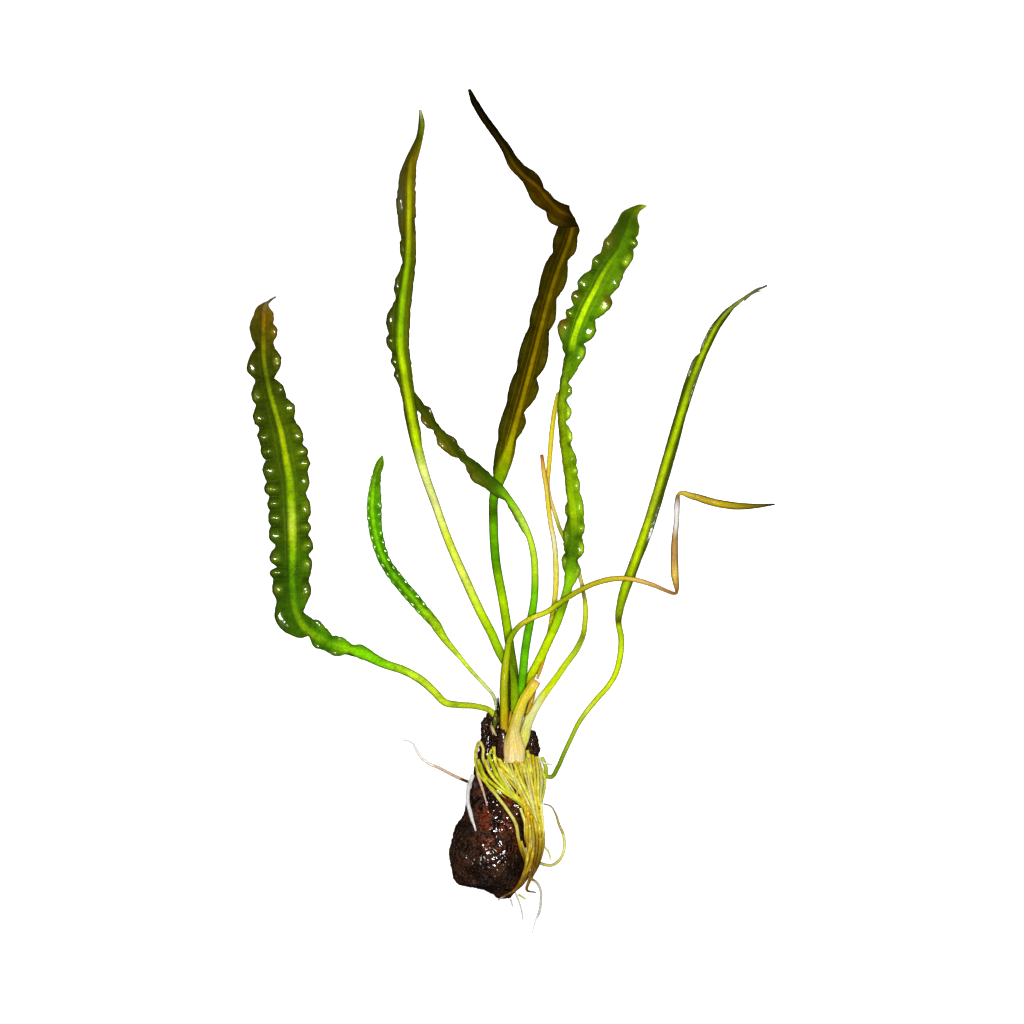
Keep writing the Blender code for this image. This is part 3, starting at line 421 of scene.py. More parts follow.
def smoothstep(low, high, value):
    share = np.clip((value - low) / (high - low), 0.0, 1.0)
    return share * share * (3 - 2 * share)


def full_rows(stations):
    """Rows of x, y, z, the left and right half widths and their tilts.

    A row with one half width has it on both sides, and one with no tilts lies flat.
    """
    rows = []
    for x, y, z, left, *rest in stations:
        right, *tilts = rest or [left]
        rows.append((x, y, z, left, right, *(tilts or (0, 0))))
    return rows


def knots_of(stations):
    """The stations as an array, and their distances along the route."""
    knots = np.array(stations, float)
    return knots, np.cumsum(np.append(0.0, np.linalg.norm(np.diff(knots[:, :3], axis=0), axis=1)))


def read_curve(stations, along):
    """Columns of a smooth curve through the stations at distances along it."""
    knots, places = knots_of(stations)
    slopes = np.gradient(knots, places, axis=0)
    first = np.clip(np.searchsorted(places, along, side="right") - 1, 0, len(places) - 2)
    span = (places[first + 1] - places[first])[:, None]
    u = (along - places[first])[:, None] / span
    return (
        knots[first] * (1 + 2 * u) * (1 - u) ** 2
        + slopes[first] * span * u * (1 - u) ** 2
        + knots[first + 1] * u * u * (3 - 2 * u)
        + slopes[first + 1] * span * u * u * (u - 1)
    )


def curve_length(stations):
    return float(knots_of([row[:3] for row in stations])[1][-1])


def row_places(stations, step):
    """Distances for the rows, closer together where the route bends."""
    dense = np.arange(0.0, curve_length(stations), 0.1)
    heading = np.gradient(read_curve(stations, dense)[:, :3], axis=0)
    heading /= np.linalg.norm(heading, axis=1)[:, None]
    turn = np.linalg.norm(np.diff(heading, axis=0, append=heading[-1:]), axis=1)
    cost = np.cumsum(np.maximum(0.1 / step, turn / RING_TURN))
    return np.interp(np.linspace(cost[0], cost[-1], int(round(cost[-1])) + 1), cost, dense)


def side_vectors(rows, along, fold=None):
    """Unit headings and the horizontal unit vectors to the left of them.

    At a fold the blade turns over: its left margin swings to the right of the
    heading by way of the crease.
    """
    heading = np.gradient(rows[:, :3], along, axis=0)
    heading /= np.linalg.norm(heading, axis=1)[:, None]
    angle = np.unwrap(np.arctan2(heading[:, 1], heading[:, 0])) + math.pi / 2
    if fold:
        place, crease, near_by = fold
        angle = np.unwrap(np.where(along < place, angle, angle - math.pi))
        angle += (1 - smoothstep(0.0, near_by, np.abs(along - place))) * (crease - angle)
    side = np.stack([np.cos(angle), np.sin(angle), np.zeros_like(angle)], axis=1)
    return heading, side


def scallop(points, values, at):
    """A curve through points, round at its peaks and sharp in its dips."""
    points, values = np.array(points, float), np.array(values, float)
    at = np.clip(at, points[0], points[-1])
    first = np.clip(np.searchsorted(points, at, side="right") - 1, 0, len(points) - 2)
    u = (at - points[first]) / (points[first + 1] - points[first]) * math.pi / 2
    share = np.where(values[first + 1] > values[first], np.sin(u), 1 - np.cos(u))
    return values[first] + (values[first + 1] - values[first]) * share


def read_margin(lobes, along, plain, luck, ruffle):
    """How far a margin reaches, and its crest: 1 on a lobe and -1 in a notch."""
    places, reaches = np.array(lobes, float).T
    reaches = reaches - EDGE_BITE
    rise = np.sign(np.diff(reaches))
    crests = np.zeros(len(places))
    crests[1:-1] = np.where(rise[:-1] > rise[1:], 1.0, np.where(rise[:-1] < rise[1:], -1.0, 0.0))
    crests *= luck.uniform(*CREST_RANGE, len(crests))
    listed = smoothstep(places[0] - LOBES_START, places[0], along)
    listed = listed * (1 - smoothstep(places[-1], min(places[-1] + LOBES_END, along[-1]), along))
    marks = np.arange(along[0], along[-1] + UNEVEN_STEP, UNEVEN_STEP)
    uneven = min(1.0, ruffle) * np.interp(along, marks, luck.normal(0, UNEVENNESS, len(marks)))
    reach = scallop(places, reaches, along) + uneven
    return plain + listed * (reach - plain), listed * scallop(places, crests, along)


def add_rings(name, rings, marks):
    """A closed tube through rings of points, with a value for each point."""
    count, sides = rings.shape[:2]
    data = bpy.data.meshes.new(name)
    faces = []
    for start in range(0, (count - 1) * sides, sides):
        for j in range(sides):
            k = (j + 1) % sides
            faces.append((start + j, start + k, start + sides + k, start + sides + j))
    faces.append(tuple(reversed(range(sides))))
    faces.append(tuple(range((count - 1) * sides, count * sides)))
    data.from_pydata((rings.reshape(-1, 3) * MM).tolist(), [], faces)
    for key, values in marks.items():
        attribute = data.attributes.new(key, "FLOAT_VECTOR", "POINT")
        attribute.data.foreach_set("vector", values.reshape(-1).astype(np.float32))
    closed = bmesh.new()
    closed.from_mesh(data)
    bmesh.ops.recalc_face_normals(closed, faces=closed.faces)
    closed.to_mesh(data)
    closed.free()
    data.shade_smooth()
    return add_object(name, data)


def grow_leaf(name, stations, left_lobes, right_lobes, blade_from, ruffle, rib_width,
              fold=None, stains_and_painted_light=(), step=0.5, seed=1, foot=()):
    """The bare shape of a leaf in millimetres, from its route and its margins seen from above.

    The foot is the part inside the crown; all distances are measured above it.
    The midrib's widths are given at distances along the leaf.
    """
    luck = np.random.default_rng(seed)
    below = curve_length([*foot, stations[0]])
    stations = full_rows([*foot, *stations])
    along = row_places(stations, step)
    rows = read_curve(stations, along)
    along = along - below
    heading, side = side_vectors(rows, along, fold)
    normal = np.cross(heading, side)
    normal /= np.linalg.norm(normal, axis=1)[:, None]
    blade = smoothstep(blade_from - BLADE_EASE, blade_from + BLADE_EASE, along)
    stalk = 1 - blade
    narrow = np.maximum(rows[:, 3:5].min(axis=1), NARROWEST)
    taper = 1 - TIP_THINNING * smoothstep(blade_from, along[-1], along)
    wide = np.interp(along, *zip(*rib_width))
    rib_half = stalk * narrow + blade * np.minimum(narrow, wide / 2)
    rib_rise = stalk * STALK_RISE * narrow + blade * np.minimum(STEEPEST_RIB * narrow, RIB_RISE * taper)
    centre = rows[:, :3].copy()
    centre[:, 2] = np.maximum(centre[:, 2], rib_rise)
    t = np.linspace(0.0, 1.0, HALF_COLUMNS)
    window = np.ones(2 * int(BROAD_SPAN / step) + 1)
    halves = []
    for sign, lobes, column in ((1, left_lobes, 3), (-1, right_lobes, 4)):
        tilt = np.radians(rows[:, column + 2])
        width = np.maximum(rows[:, column], NARROWEST)
        reach, crest = read_margin(lobes, along, width * np.cos(tilt), luck, ruffle)
        reach = np.maximum(reach, rib_half * LEAST_FLESH)
        drop = width * np.sin(tilt) * blade
        by_rib = rib_half * RIB_REACH
        inner = np.minimum(by_rib, reach)[:, None] * np.minimum(t / RIB_COLUMNS, 1)
        beyond = np.clip((t - RIB_COLUMNS) / (1 - RIB_COLUMNS), 0, 1)
        outer = np.maximum(reach - by_rib, 0.02)[:, None] * beyond
        oval = reach[:, None] * np.sin(t * math.pi / 2)
        out = stalk[:, None] * oval + blade[:, None] * (inner + outer)
        f = out / reach[:, None]
        dome = (f**1.5 - CURL * f**5) * (1 + 1.3 * CURL)
        size = ruffle * blade * np.minimum(1.0, reach / FULL_RUFFLE_REACH)
        level = drop[:, None] * f**1.5 + (size * crest)[:, None] * dome
        broad = np.convolve(reach, window, "same") / np.convolve(np.ones_like(reach), window, "same")
        thick = THICKNESS - EDGE_THINNING * f
        rise = np.sqrt(np.clip(1 - (out / (rib_half * RIB_FOOT)[:, None]) ** 2, 0, 1))
        flesh = np.maximum(thick, rise * rib_rise[:, None])
        body = rib_rise[:, None] * np.sqrt(np.clip(1 - f**2, 0.02, 1))
        half_thick = stalk[:, None] * body + blade[:, None] * flesh
        da, dc = np.gradient(out, axis=1), np.gradient(level, axis=1)
        size_of = np.sqrt(da**2 + dc**2) + 1e-9
        halves.append((sign, out, level, -dc / size_of * half_thick, da / size_of * half_thick,
                       f, crest[:, None] * dome, out / broad[:, None]))
    parts = {"ring": [], "leaf_place": [], "leaf_state": [], "leaf_edge": []}
    for face in (1, -1):
        for sign, out, level, lean, up, f, crest, across in halves:
            a = sign * (out + face * lean)
            c = level + face * up
            point = centre[:, None] + side[:, None] * a[..., None] + normal[:, None] * c[..., None]
            # Stains and painted patches, each a place along, a half, a spread and an amount: real stains
            # on some leaves, a painted grey sheen on the tall leaf and painted shade at the brown leaf's
            # fold.
            stain = np.zeros_like(out)
            for place, half, spread, amount in stains_and_painted_light:
                if half in (0, sign):
                    near = np.exp(-(((along[:, None] - place) / spread) ** 2))
                    outer_part = smoothstep(0.3, 0.7, f) if half else 1
                    stain = np.maximum(stain, amount * near * outer_part)
            along_all, blade_all = (np.repeat(v[:, None], len(t), 1) for v in (along, blade))
            order = slice(None, 0, -1) if (sign == 1) == (face == 1) else slice(None)
            for key, columns in (
                ("ring", point),
                ("leaf_place", (sign * across, along_all, out / (rib_half * RIB_COLOUR_REACH)[:, None])),
                ("leaf_state", (blade_all, crest * smoothstep(0.25, 0.7, f),
                                stain + UNDER_SIDE * (face < 0))),
                ("leaf_edge", (f, 0 * f, 0 * f)),
            ):
                values = np.stack(columns, axis=2) if isinstance(columns, tuple) else columns
                parts[key].append(values[:, order])
    marks = {key: np.concatenate([columns[i] for i in (0, 1, 3, 2)], axis=1)
             for key, columns in parts.items()}
    rings = marks.pop("ring")
    rings[..., 2] = np.maximum(rings[..., 2], LOWEST_POINT)
    return add_rings(name, rings, marks)


def read_mark(tree, key):
    """The three parts of a value stored on the points, in a geometry tree."""
    return split(tree, put(tree, "GeometryNodeInputNamedAttribute", {"Name": key},
                           data_type="FLOAT_VECTOR").outputs[0])


def see_mark(tree, key):
    """The three parts of a value stored on the points, in a material."""
    return split(tree, put(tree, "ShaderNodeAttribute", attribute_name=key).outputs["Vector"])


def is_under_side(tree, stain):
    """1 on a leaf's lower face, whose points carry a mark on top of their stain."""
    return calc(tree, "GREATER_THAN", stain, UNDER_SIDE - 0.5)


def leaf_relief_tree():
    """Side veins and small crinkles over a blade, and the leaf's material."""
    tree, given, result = start_group(
        "leaf relief", "GeometryNodeTree",
        [("Shape", SHAPE), ("Vein height", FLOAT, 0.05 * MM), ("Veins a side", FLOAT, 3.0),
         ("Crinkle height", FLOAT, 0.12 * MM), ("Crinkle size", FLOAT, 2.2 * MM), ("Tissue", SKIN)],
        [("Shape", SHAPE)],
    )
    across = read_mark(tree, "leaf_place")[0]
    blade, _, stain = read_mark(tree, "leaf_state")
    under = is_under_side(tree, stain)
    face = minus(tree, 1.0, times(tree, under, 2.0))
    count = times(tree, calc(tree, "ABSOLUTE", across), given["Veins a side"])
    vein = lift(tree, calc(tree, "PINGPONG", count, 0.5), 0.0, 0.12, 1.0, 0.0)
    place = put(tree, "GeometryNodeInputPosition").outputs[0]
    scale = calc(tree, "DIVIDE", 1.0, given["Crinkle size"])
    noise = put(tree, "ShaderNodeTexNoise", {"Vector": place, "Scale": scale, "Detail": 1.5})
    crinkle = minus(tree, noise.outputs["Fac"], 0.5)
    push = plus(tree, times(tree, vein, given["Vein height"]),
                times(tree, times(tree, crinkle, face), times(tree, 2.0, given["Crinkle height"])))
    moved = push_out(tree, given["Shape"], times(tree, push, blade))
    return end_shape(tree, moved, given["Tissue"], result)


leaf_relief = leaf_relief_tree()


def shade(tree, colour, tone):
    """A colour made darker or lighter by a number."""
    grey = put(tree, "ShaderNodeCombineColor", {0: tone, 1: tone, 2: tone}).outputs[0]
    return blend(tree, 1.0, colour, grey, "MULTIPLY")


def leaf_tissue_group():
    """Colour, roughness, wetness and height of leaf tissue; its colour carries painted light on the lobe
    crests, and painted shade in the notches, on one half of the blade and on the stalk's flanks.
    """
    tree, given, result = start_group(
        "leaf tissue", "ShaderNodeTree",
        [("Flesh", COLOUR), ("Crest", COLOUR), ("Rib", COLOUR), ("Margin", COLOUR),
         ("Stain", COLOUR, tint(120, 88, 16)), ("Vein tone", FLOAT, 0.2), ("Mottle", FLOAT, 0.5),
         ("Relief tone", FLOAT, 0.8), ("Rib edge", FLOAT, 0.75), ("Gloss", FLOAT, 1.0),
         ("Flat wet", FLOAT, 0.0), ("Left side", FLOAT, 1.0), ("Right side", FLOAT, 1.0)],
        [("Colour", COLOUR), ("Roughness", FLOAT), ("Wet", FLOAT), ("Height", FLOAT)],
    )
    across, along, rib_out = see_mark(tree, "leaf_place")
    blade, crest, stain = see_mark(tree, "leaf_state")
    edge = see_mark(tree, "leaf_edge")[0]
    off = calc(tree, "ABSOLUTE", across)
    stain = minus(tree, stain, times(tree, is_under_side(tree, stain), UNDER_SIDE))
    place = own_place(tree)
    broad = speckle(tree, 5.0, 3.0, 0.6, place)
    fine = speckle(tree, 0.9, 3.0, 0.65, place)
    grain = speckle(tree, 0.33, 1.0, 0.5, place)
    flat = put(tree, "ShaderNodeCombineXYZ", {0: times(tree, off, 1.5), 1: along}).outputs[0]
    ladder = put(tree, "ShaderNodeTexNoise", {"Vector": flat, "Scale": 2.4, "Detail": 1.0}).outputs["Fac"]
    tone = 1.0
    for noise, weight in ((broad, 1.5), (fine, 0.8), (grain, 0.45), (ladder, 0.5)):
        tone = plus(tree, tone, times(tree, minus(tree, noise, 0.5), weight, given["Mottle"]))
    # Painted shade: the tone is darkened in the notches between the lobes.
    low = lift(tree, crest, -0.9, -0.05, 0.6, 0.0)
    tone = times(tree, tone, minus(tree, 1.0, times(tree, low, given["Relief tone"])))
    tone = calc(tree, "MAXIMUM", tone, 0.2)
    # Painted light: the lobe crests are blended towards the Crest colour, a lit colour for the domes.
    high = calc(tree, "MULTIPLY", lift(tree, crest, 0.1, 1.3), given["Relief tone"], clamp=True)
    high = times(tree, high, lift(tree, broad, 0.3, 0.6, 0.35, 1.0))
    flesh = blend(tree, high, given["Flesh"], given["Crest"])
    # Painted light and shade: one half of the blade is darkened and the other lightened by the left and
    # right half tones.
    flesh = shade(tree, flesh, lift(tree, across, -0.12, 0.12, given["Right side"], given["Left side"]))
    veins, threads = (
        lift(tree, calc(tree, "PINGPONG", times(tree, off, count), 0.5), near, far, most, 0.0)
        for count, near, far, most in ((3.0, 0.02, 0.1, 1.0), (13.0, 0.0, 0.4, 0.4))
    )
    lines = times(tree, calc(tree, "MAXIMUM", veins, threads), blade)
    share = times(tree, lines, lift(tree, off, 0.3, 0.95, 1.0, 0.25), given["Vein tone"])
    colour = blend(tree, share, flesh, given["Rib"])
    shore = times(tree, lift(tree, edge, 0.8, 1.0), lift(tree, broad, 0.35, 0.6, 0.35, 0.85), blade)
    colour = blend(tree, shore, colour, given["Margin"])
    soft = given["Rib edge"]
    ribbed = lift(tree, rib_out, minus(tree, 1.0, soft), plus(tree, 1.0, soft), 1.0, 0.0)
    colour = blend(tree, ribbed, colour, given["Rib"])
    # Painted shade: on the stalk the flanks turn towards the margin colour, where the round stalk turns
    # away from above.
    side = times(tree, lift(tree, edge, 0.6, 1.0, 0.0, 0.7), minus(tree, 1.0, blade))
    colour = shade(tree, blend(tree, side, colour, given["Margin"]), tone)
    ruffled = lift(tree, crest, 0.36, 0.56, given["Flat wet"], 1.0)
    bare = minus(tree, 1.0, times(tree, ribbed, 0.75))
    most = times(tree, calc(tree, "MULTIPLY_ADD", blade, 0.8, 0.2), given["Gloss"],
                 times(tree, ruffled, bare))
    feed(result, {
        # The stain colour is a real stain on some leaves, a painted grey sheen on the tall leaf and
        # painted shade at the brown leaf's fold.
        "Colour": blend(tree, stain, colour, given["Stain"]),
        "Roughness": lift(tree, calc(tree, "ABSOLUTE", crest), 0.25, 0.8, 0.75, 0.3),
        "Wet": wet_coat(tree, 3, 0.25, most),
        "Height": plus(tree, times(tree, lines, 0.4), times(tree, fine, 0.5)),
    })
    return tree


leaf_tissue = leaf_tissue_group()


def ramp(tree, share, stops):
    """A run of colours; each stop is its place from 0 to 1 and its red, green and blue."""
    made = put(tree, "ShaderNodeValToRGB", {0: share})
    marks = made.color_ramp.elements
    while len(marks) < len(stops):
        marks.new(0.5)
    for mark, (position, *colour) in zip(marks, stops):
        mark.position = position
        mark.color = tint(*colour)
    return made.outputs[0]


# Each leaf's crest colours are painted light on its lobe crests, and its relief shading sets the painted
# shade in its notches.
def leaf_material(name, length, sheen=0.25, **looks):
    """Leaf tissue; each look is one of its sockets, as a value or as a run of colours."""
    def build(tree):
        share = calc(tree, "DIVIDE", see_mark(tree, "leaf_place")[1], length)
        tissue = put(tree, "ShaderNodeGroup", node_tree=leaf_tissue)
        for key, look in looks.items():
            look = ramp(tree, share, look) if isinstance(look, list) else look
            feed(tissue, {key.replace("_", " ").capitalize(): look})
        return *tissue.outputs, 0.2 * MM

    return finish_material(name, build, 0.12, sheen, (0.55, 1.0, 0.15), 1.65)


def dress_leaf(node, slot, stations, left_lobes, right_lobes, blade_from, ruffle, rib_width,
               relief, shape, **looks):
    """One leaf from its route to its seated piece.

    Relief is the height of its veins, the height of its crinkles and their size.
    """
    name = node + "_blade"
    leaf = grow_leaf(name, stations, left_lobes, right_lobes, blade_from, ruffle, rib_width, **shape)
    tissue = leaf_material(name.replace("_", " "), curve_length(stations), **looks)
    vein, crinkle, size = relief
    use_tree(leaf, leaf_relief, {"Vein height": vein * MM, "Crinkle height": crinkle * MM,
                                 "Crinkle size": size * MM, "Tissue": tissue})
    seat(leaf, slot, node)


# Left ruffled leaf: the broadest blade, deep green and closely ruffled, bent
# over sharply low down where the blade begins.
LEFT_RUFFLED = [
    (0.7, 46, 6.6, 0.95), (-4.9, 48, 4.8, 1), (-10.5, 48.4, 2.8, 1.1), (-14.9, 49.2, 1.9, 1.2),
    (-18.6, 52.8, 1.5, 1.3), (-22.6, 56.4, 1.4, 1.4), (-28.3, 59.7, 1.4, 1.4),
    (-35.3, 62.1, 1.4, 1.5, 1.6), (-42.3, 65.3, 1.5, 1.8, 2.4, 0, 5), (-47.9, 67.2, 1.6, 2.2, 3.2, 0, 5),
    (-54, 69.1, 1.8, 3.2, 3, 0, 5), (-58.7, 71.8, 1.9, 2.6, 3.7, 0, 5), (-61.8, 74.2, 2, 2.9, 3.3, 0, 5),
    (-63.9, 77.4, 2, 5.6, 2.9, 0, 5), (-65.3, 82.2, 2, 7, 4.4), (-65.8, 88, 2, 7.2, 5.5),
    (-65.8, 104, 2.1, 7.9, 6.2), (-66.2, 116.3, 2.1, 8.2, 6.3), (-66.8, 123.9, 2.1, 8.3, 6.8),
    (-68, 130.5, 2.1, 8.4, 7.4), (-69.7, 139.8, 2.1, 7.7, 7.2), (-71.8, 147.1, 2.1, 7.2, 6),
    (-74.6, 158.5, 2, 5.7, 4.8), (-75.4, 165, 2, 5.1, 4.5), (-75.5, 171.3, 2, 4.6, 4.2),
    (-75.4, 177.5, 1.9, 3.6, 3.4), (-75.2, 180.4, 1.8, 2.5, 1.9), (-74.7, 181.7, 1.8, 1.2, 0.9),
    (-74, 182.6, 1.9, 0.45, 0.4), (-72.9, 183.5, 2.1, 0.32), (-71.4, 184.4, 2.4, 0.2),
]
LEFT_RUFFLED_LOBES = (
    [(49.5, 2), (53.5, 1.7), (58.5, 3.6), (61.2, 3), (63.5, 3.5), (67.8, 1.5), (75.8, 7.5), (80.8, 5.9),
     (84.2, 7), (87.8, 6.3), (89.8, 7.8), (91.6, 5.3), (94, 7.9), (98.8, 5.9), (102.2, 8.2), (105.5, 7.2),
     (108.2, 8.2), (110.8, 7.5), (113.2, 8.3), (115.4, 7.4), (118, 8.9), (121, 7.9), (125, 8.7),
     (128.5, 7.1), (131.2, 8.2), (133.6, 7.8), (136.5, 8.3), (140.2, 6.9), (143.2, 8), (147.8, 5.7),
     (150, 6.6), (155.5, 4), (159, 6.2), (166, 2.9), (171.2, 4.8)],
    [(50.5, 3), (53.2, 1.9), (58.2, 3.6), (60.5, 2.8), (67.2, 4.9), (75.8, 2.5), (84.5, 6.4), (86.8, 5.6),
     (92.8, 6.9), (95.8, 5.7), (98.8, 7.2), (102.2, 5.4), (104.8, 6.4), (106.8, 5.3), (110.5, 6.7),
     (116, 5), (120, 6.8), (122.6, 6.4), (125.2, 8), (127.2, 7.5), (129.2, 8), (132, 6.4), (134.4, 7.2),
     (139.8, 5.4), (143.8, 7.1), (147.5, 4.9), (150.8, 5.2), (155, 2.4), (160.5, 5.9), (167.2, 3.3),
     (171.2, 4.9), (173.8, 3.5), (175.5, 3.7)],
)
dress_leaf(
    "leaf_left_ruffled", "leaf_dark", LEFT_RUFFLED, *LEFT_RUFFLED_LOBES, 52, 1.15,
    [(52, 2.6), (64, 2.3), (74, 1.6), (92, 1.8), (104, 2.1), (116, 2.1), (128, 1.6), (137, 1.3),
     (148, 1.15), (168, 1), (184, 0.7)],
    relief=(0.05, 0.32, 2.4),
    shape=dict(foot=[(2.2, 42.6, 7.4, 0.9)], stains_and_painted_light=((171, -1, 4, 0.5), (176, -1, 3, 0.6)), seed=11),
    flesh=[(0, 150, 190, 30), (0.28, 66, 140, 8), (0.4, 60, 98, 5), (0.47, 56, 90, 4), (0.56, 60, 90, 5),
        (0.64, 68, 94, 6), (0.72, 66, 86, 5), (0.8, 62, 76, 5), (0.88, 58, 62, 4), (0.93, 84, 76, 7),
        (0.96, 104, 84, 10), (1, 110, 90, 50)],
    # The pale stops at 0.55 and 0.57 are a painted glare on the midrib.
    rib=[(0, 184, 198, 36), (0.034, 190, 206, 30), (0.066, 188, 216, 30), (0.091, 206, 234, 36),
        (0.12, 202, 224, 44), (0.148, 206, 240, 50), (0.184, 184, 230, 36), (0.224, 136, 220, 6),
        (0.266, 122, 208, 5), (0.3, 130, 190, 8), (0.332, 96, 156, 7), (0.383, 138, 182, 12),
        (0.431, 92, 142, 6), (0.462, 82, 136, 5), (0.5, 112, 174, 8), (0.53, 152, 200, 14),
        (0.55, 188, 220, 30), (0.57, 208, 232, 64), (0.616, 156, 198, 10), (0.657, 140, 178, 8),
        (0.694, 172, 196, 10), (0.745, 170, 188, 10), (0.786, 150, 176, 8), (0.84, 110, 124, 8),
        (0.885, 128, 134, 10), (0.919, 132, 112, 12), (0.953, 176, 122, 12), (0.985, 120, 112, 92)],
    margin=[(0, 90, 130, 10), (0.4, 46, 54, 5), (0.9, 62, 54, 6), (1, 96, 80, 50)],
    crest=[(0, 120, 140, 12), (0.6, 122, 140, 16), (0.85, 122, 130, 16), (0.93, 168, 130, 16),
        (1, 130, 110, 60)],
    mottle=1.3, relief_tone=0.95, vein_tone=0.14, left_side=0.77, right_side=1.22,
)

# Small left leaf: a young blade of thin tissue, narrow and fresh green, with finely
# waved margins. Its stalk springs from the crown behind the broader leaves.
SMALL_LEFT = [
    (2.5, 43.2, 6.2, 0.55), (2.2, 47.6, 5.6, 0.6), (1.2, 51.4, 4.9, 0.6), (-1.6, 54.8, 3.9, 0.65),
    (-5.8, 59.3, 2.7, 0.7), (-10.5, 64.9, 1.7, 0.85), (-15.2, 70.5, 1.2, 1.3), (-18.4, 75.6, 1.1, 1.7),
    (-22.6, 80.3, 1.1, 2), (-26.9, 85.4, 1.1, 2.1), (-31.5, 91, 1.1, 2.1), (-34.9, 96, 1.1, 2.1),
    (-37.1, 101.4, 1.1, 2.2), (-38.5, 106.9, 1.1, 2.3), (-39.2, 112.9, 1.1, 2.2, 2.8),
    (-39, 119.7, 1.1, 2.1, 2.9), (-37.9, 126, 1.1, 1.6, 2.2), (-36.5, 129.6, 1.2, 1),
    (-35.8, 131.5, 1.4, 0.3),
]


WAVES_END, WAVE_STEP, WAVE_HEIGHT = 97.0, 1.6, 0.07


def fine_waves(start, places, widths):
    """Small even lobes along a margin, about a width that is given at places."""
    marks = np.arange(start, WAVES_END, WAVE_STEP)
    pairs = zip(marks, np.interp(marks, places, widths))
    return [(place, width + WAVE_HEIGHT * (-1) ** i) for i, (place, width) in enumerate(pairs)]


SMALL_LEFT_LOBES = (
    fine_waves(40.0, [40, 54, 66, 84, 97], [2.0, 2.4, 2.2, 2.1, 1.3]),
    fine_waves(40.8, [40, 50, 66, 76, 86, 97], [1.9, 2.4, 2.2, 2.7, 3.5, 2.0]),
)
dress_leaf(
    "leaf_small_left", "leaf_fresh", SMALL_LEFT, *SMALL_LEFT_LOBES, 40, 0.4,
    [(40, 1.3), (60, 1), (84, 0.9), (103, 0.5)],
    relief=(0.03, 0.2, 1.7),
    shape=dict(foot=[(2.8, 38.6, 7, 0.55)], seed=12),
    flesh=[(0, 190, 190, 90), (0.3, 150, 190, 30), (0.45, 72, 140, 7), (0.6, 60, 134, 5),
        (0.8, 76, 150, 10), (0.92, 96, 152, 14), (1, 90, 120, 10)],
    rib=[(0, 238, 238, 200), (0.08, 224, 234, 160), (0.2, 205, 228, 60), (0.35, 190, 228, 30),
        (0.5, 138, 209, 16), (0.6, 130, 215, 10), (0.9, 134, 215, 12), (1, 110, 150, 14)],
    margin=[(0, 190, 200, 60), (0.5, 50, 92, 6), (1, 50, 76, 6)],
    crest=[(0, 170, 214, 40), (1, 140, 206, 30)],
    mottle=1.4, rib_edge=0.9,
)

# Tall leaf: a long slim blade whose right half has rolled under along a clean
# edge, with a few dark ruffles on the left.
TALL = [
    (7.1, 43.6, 8.6, 1.5), (7.9, 49, 9.6, 1.65), (7.8, 54.3, 10.2, 1.6), (6.2, 60.8, 10.4, 1.5),
    (3.1, 66.3, 9.8, 1.5), (0.7, 71.9, 8.9, 1.5), (-2.5, 78, 7.7, 1.5), (-8.6, 91.1, 5.2, 1.5),
    (-14, 103.5, 3.5, 1.4), (-18.1, 115, 2.8, 1.4, 1.4, 0, -20), (-22.1, 126.5, 2.9, 1.6, 1.6, 0, -35),
    (-24.2, 134.9, 3.3, 2, 2.2, -5, -50), (-25.7, 142.5, 4.2, 2.3, 2.8, -5, -50),
    (-27.5, 152.2, 4.6, 2.5, 3, -5, -50), (-29, 161.4, 4.2, 3.4, 4, -5, -55),
    (-29.9, 168.6, 4, 4.2, 4.5, -5, -55), (-29.8, 174.7, 4, 4.4, 4.6, -5, -55),
    (-28.6, 187.3, 4, 3.3, 4.6, -5, -50), (-27.5, 195.3, 3.8, 3.1, 4.2, -5, -55),
    (-27.1, 203.3, 3.6, 3.1, 3.8, -10, -50), (-27, 215.4, 3.4, 4.2, 3.4, -10, -50),
    (-26.8, 224.8, 3, 3.4, 3, -10, -45), (-26.2, 229.3, 2.7, 2.3, 2.3, -5, -35),
    (-24.9, 233.2, 2.4, 1.7, 1.7, 0, -20), (-23.5, 237.4, 2.2, 1.2), (-22.8, 242.2, 2.2, 1.1),
    (-23.3, 246.8, 2.6, 0.4),
]
TALL_LOBES = (
    [(114, 2.3), (120, 2.6), (123, 3.6), (124.8, 3.2), (127.2, 4), (130, 3.1), (134.2, 4.9), (136, 4.1),
     (140.5, 4.9), (147.5, 2.4), (152, 3.6), (159.8, 1.9), (165, 3.1), (168.5, 2.9), (174, 3.8),
     (180.5, 4.4), (186, 3.7)],
    [(102, 2.2), (114, 2.3), (126, 3), (138.5, 3.2), (150, 3.1), (162, 2.8), (174, 2.3), (186, 2.4),
     (192, 2.1)],
)
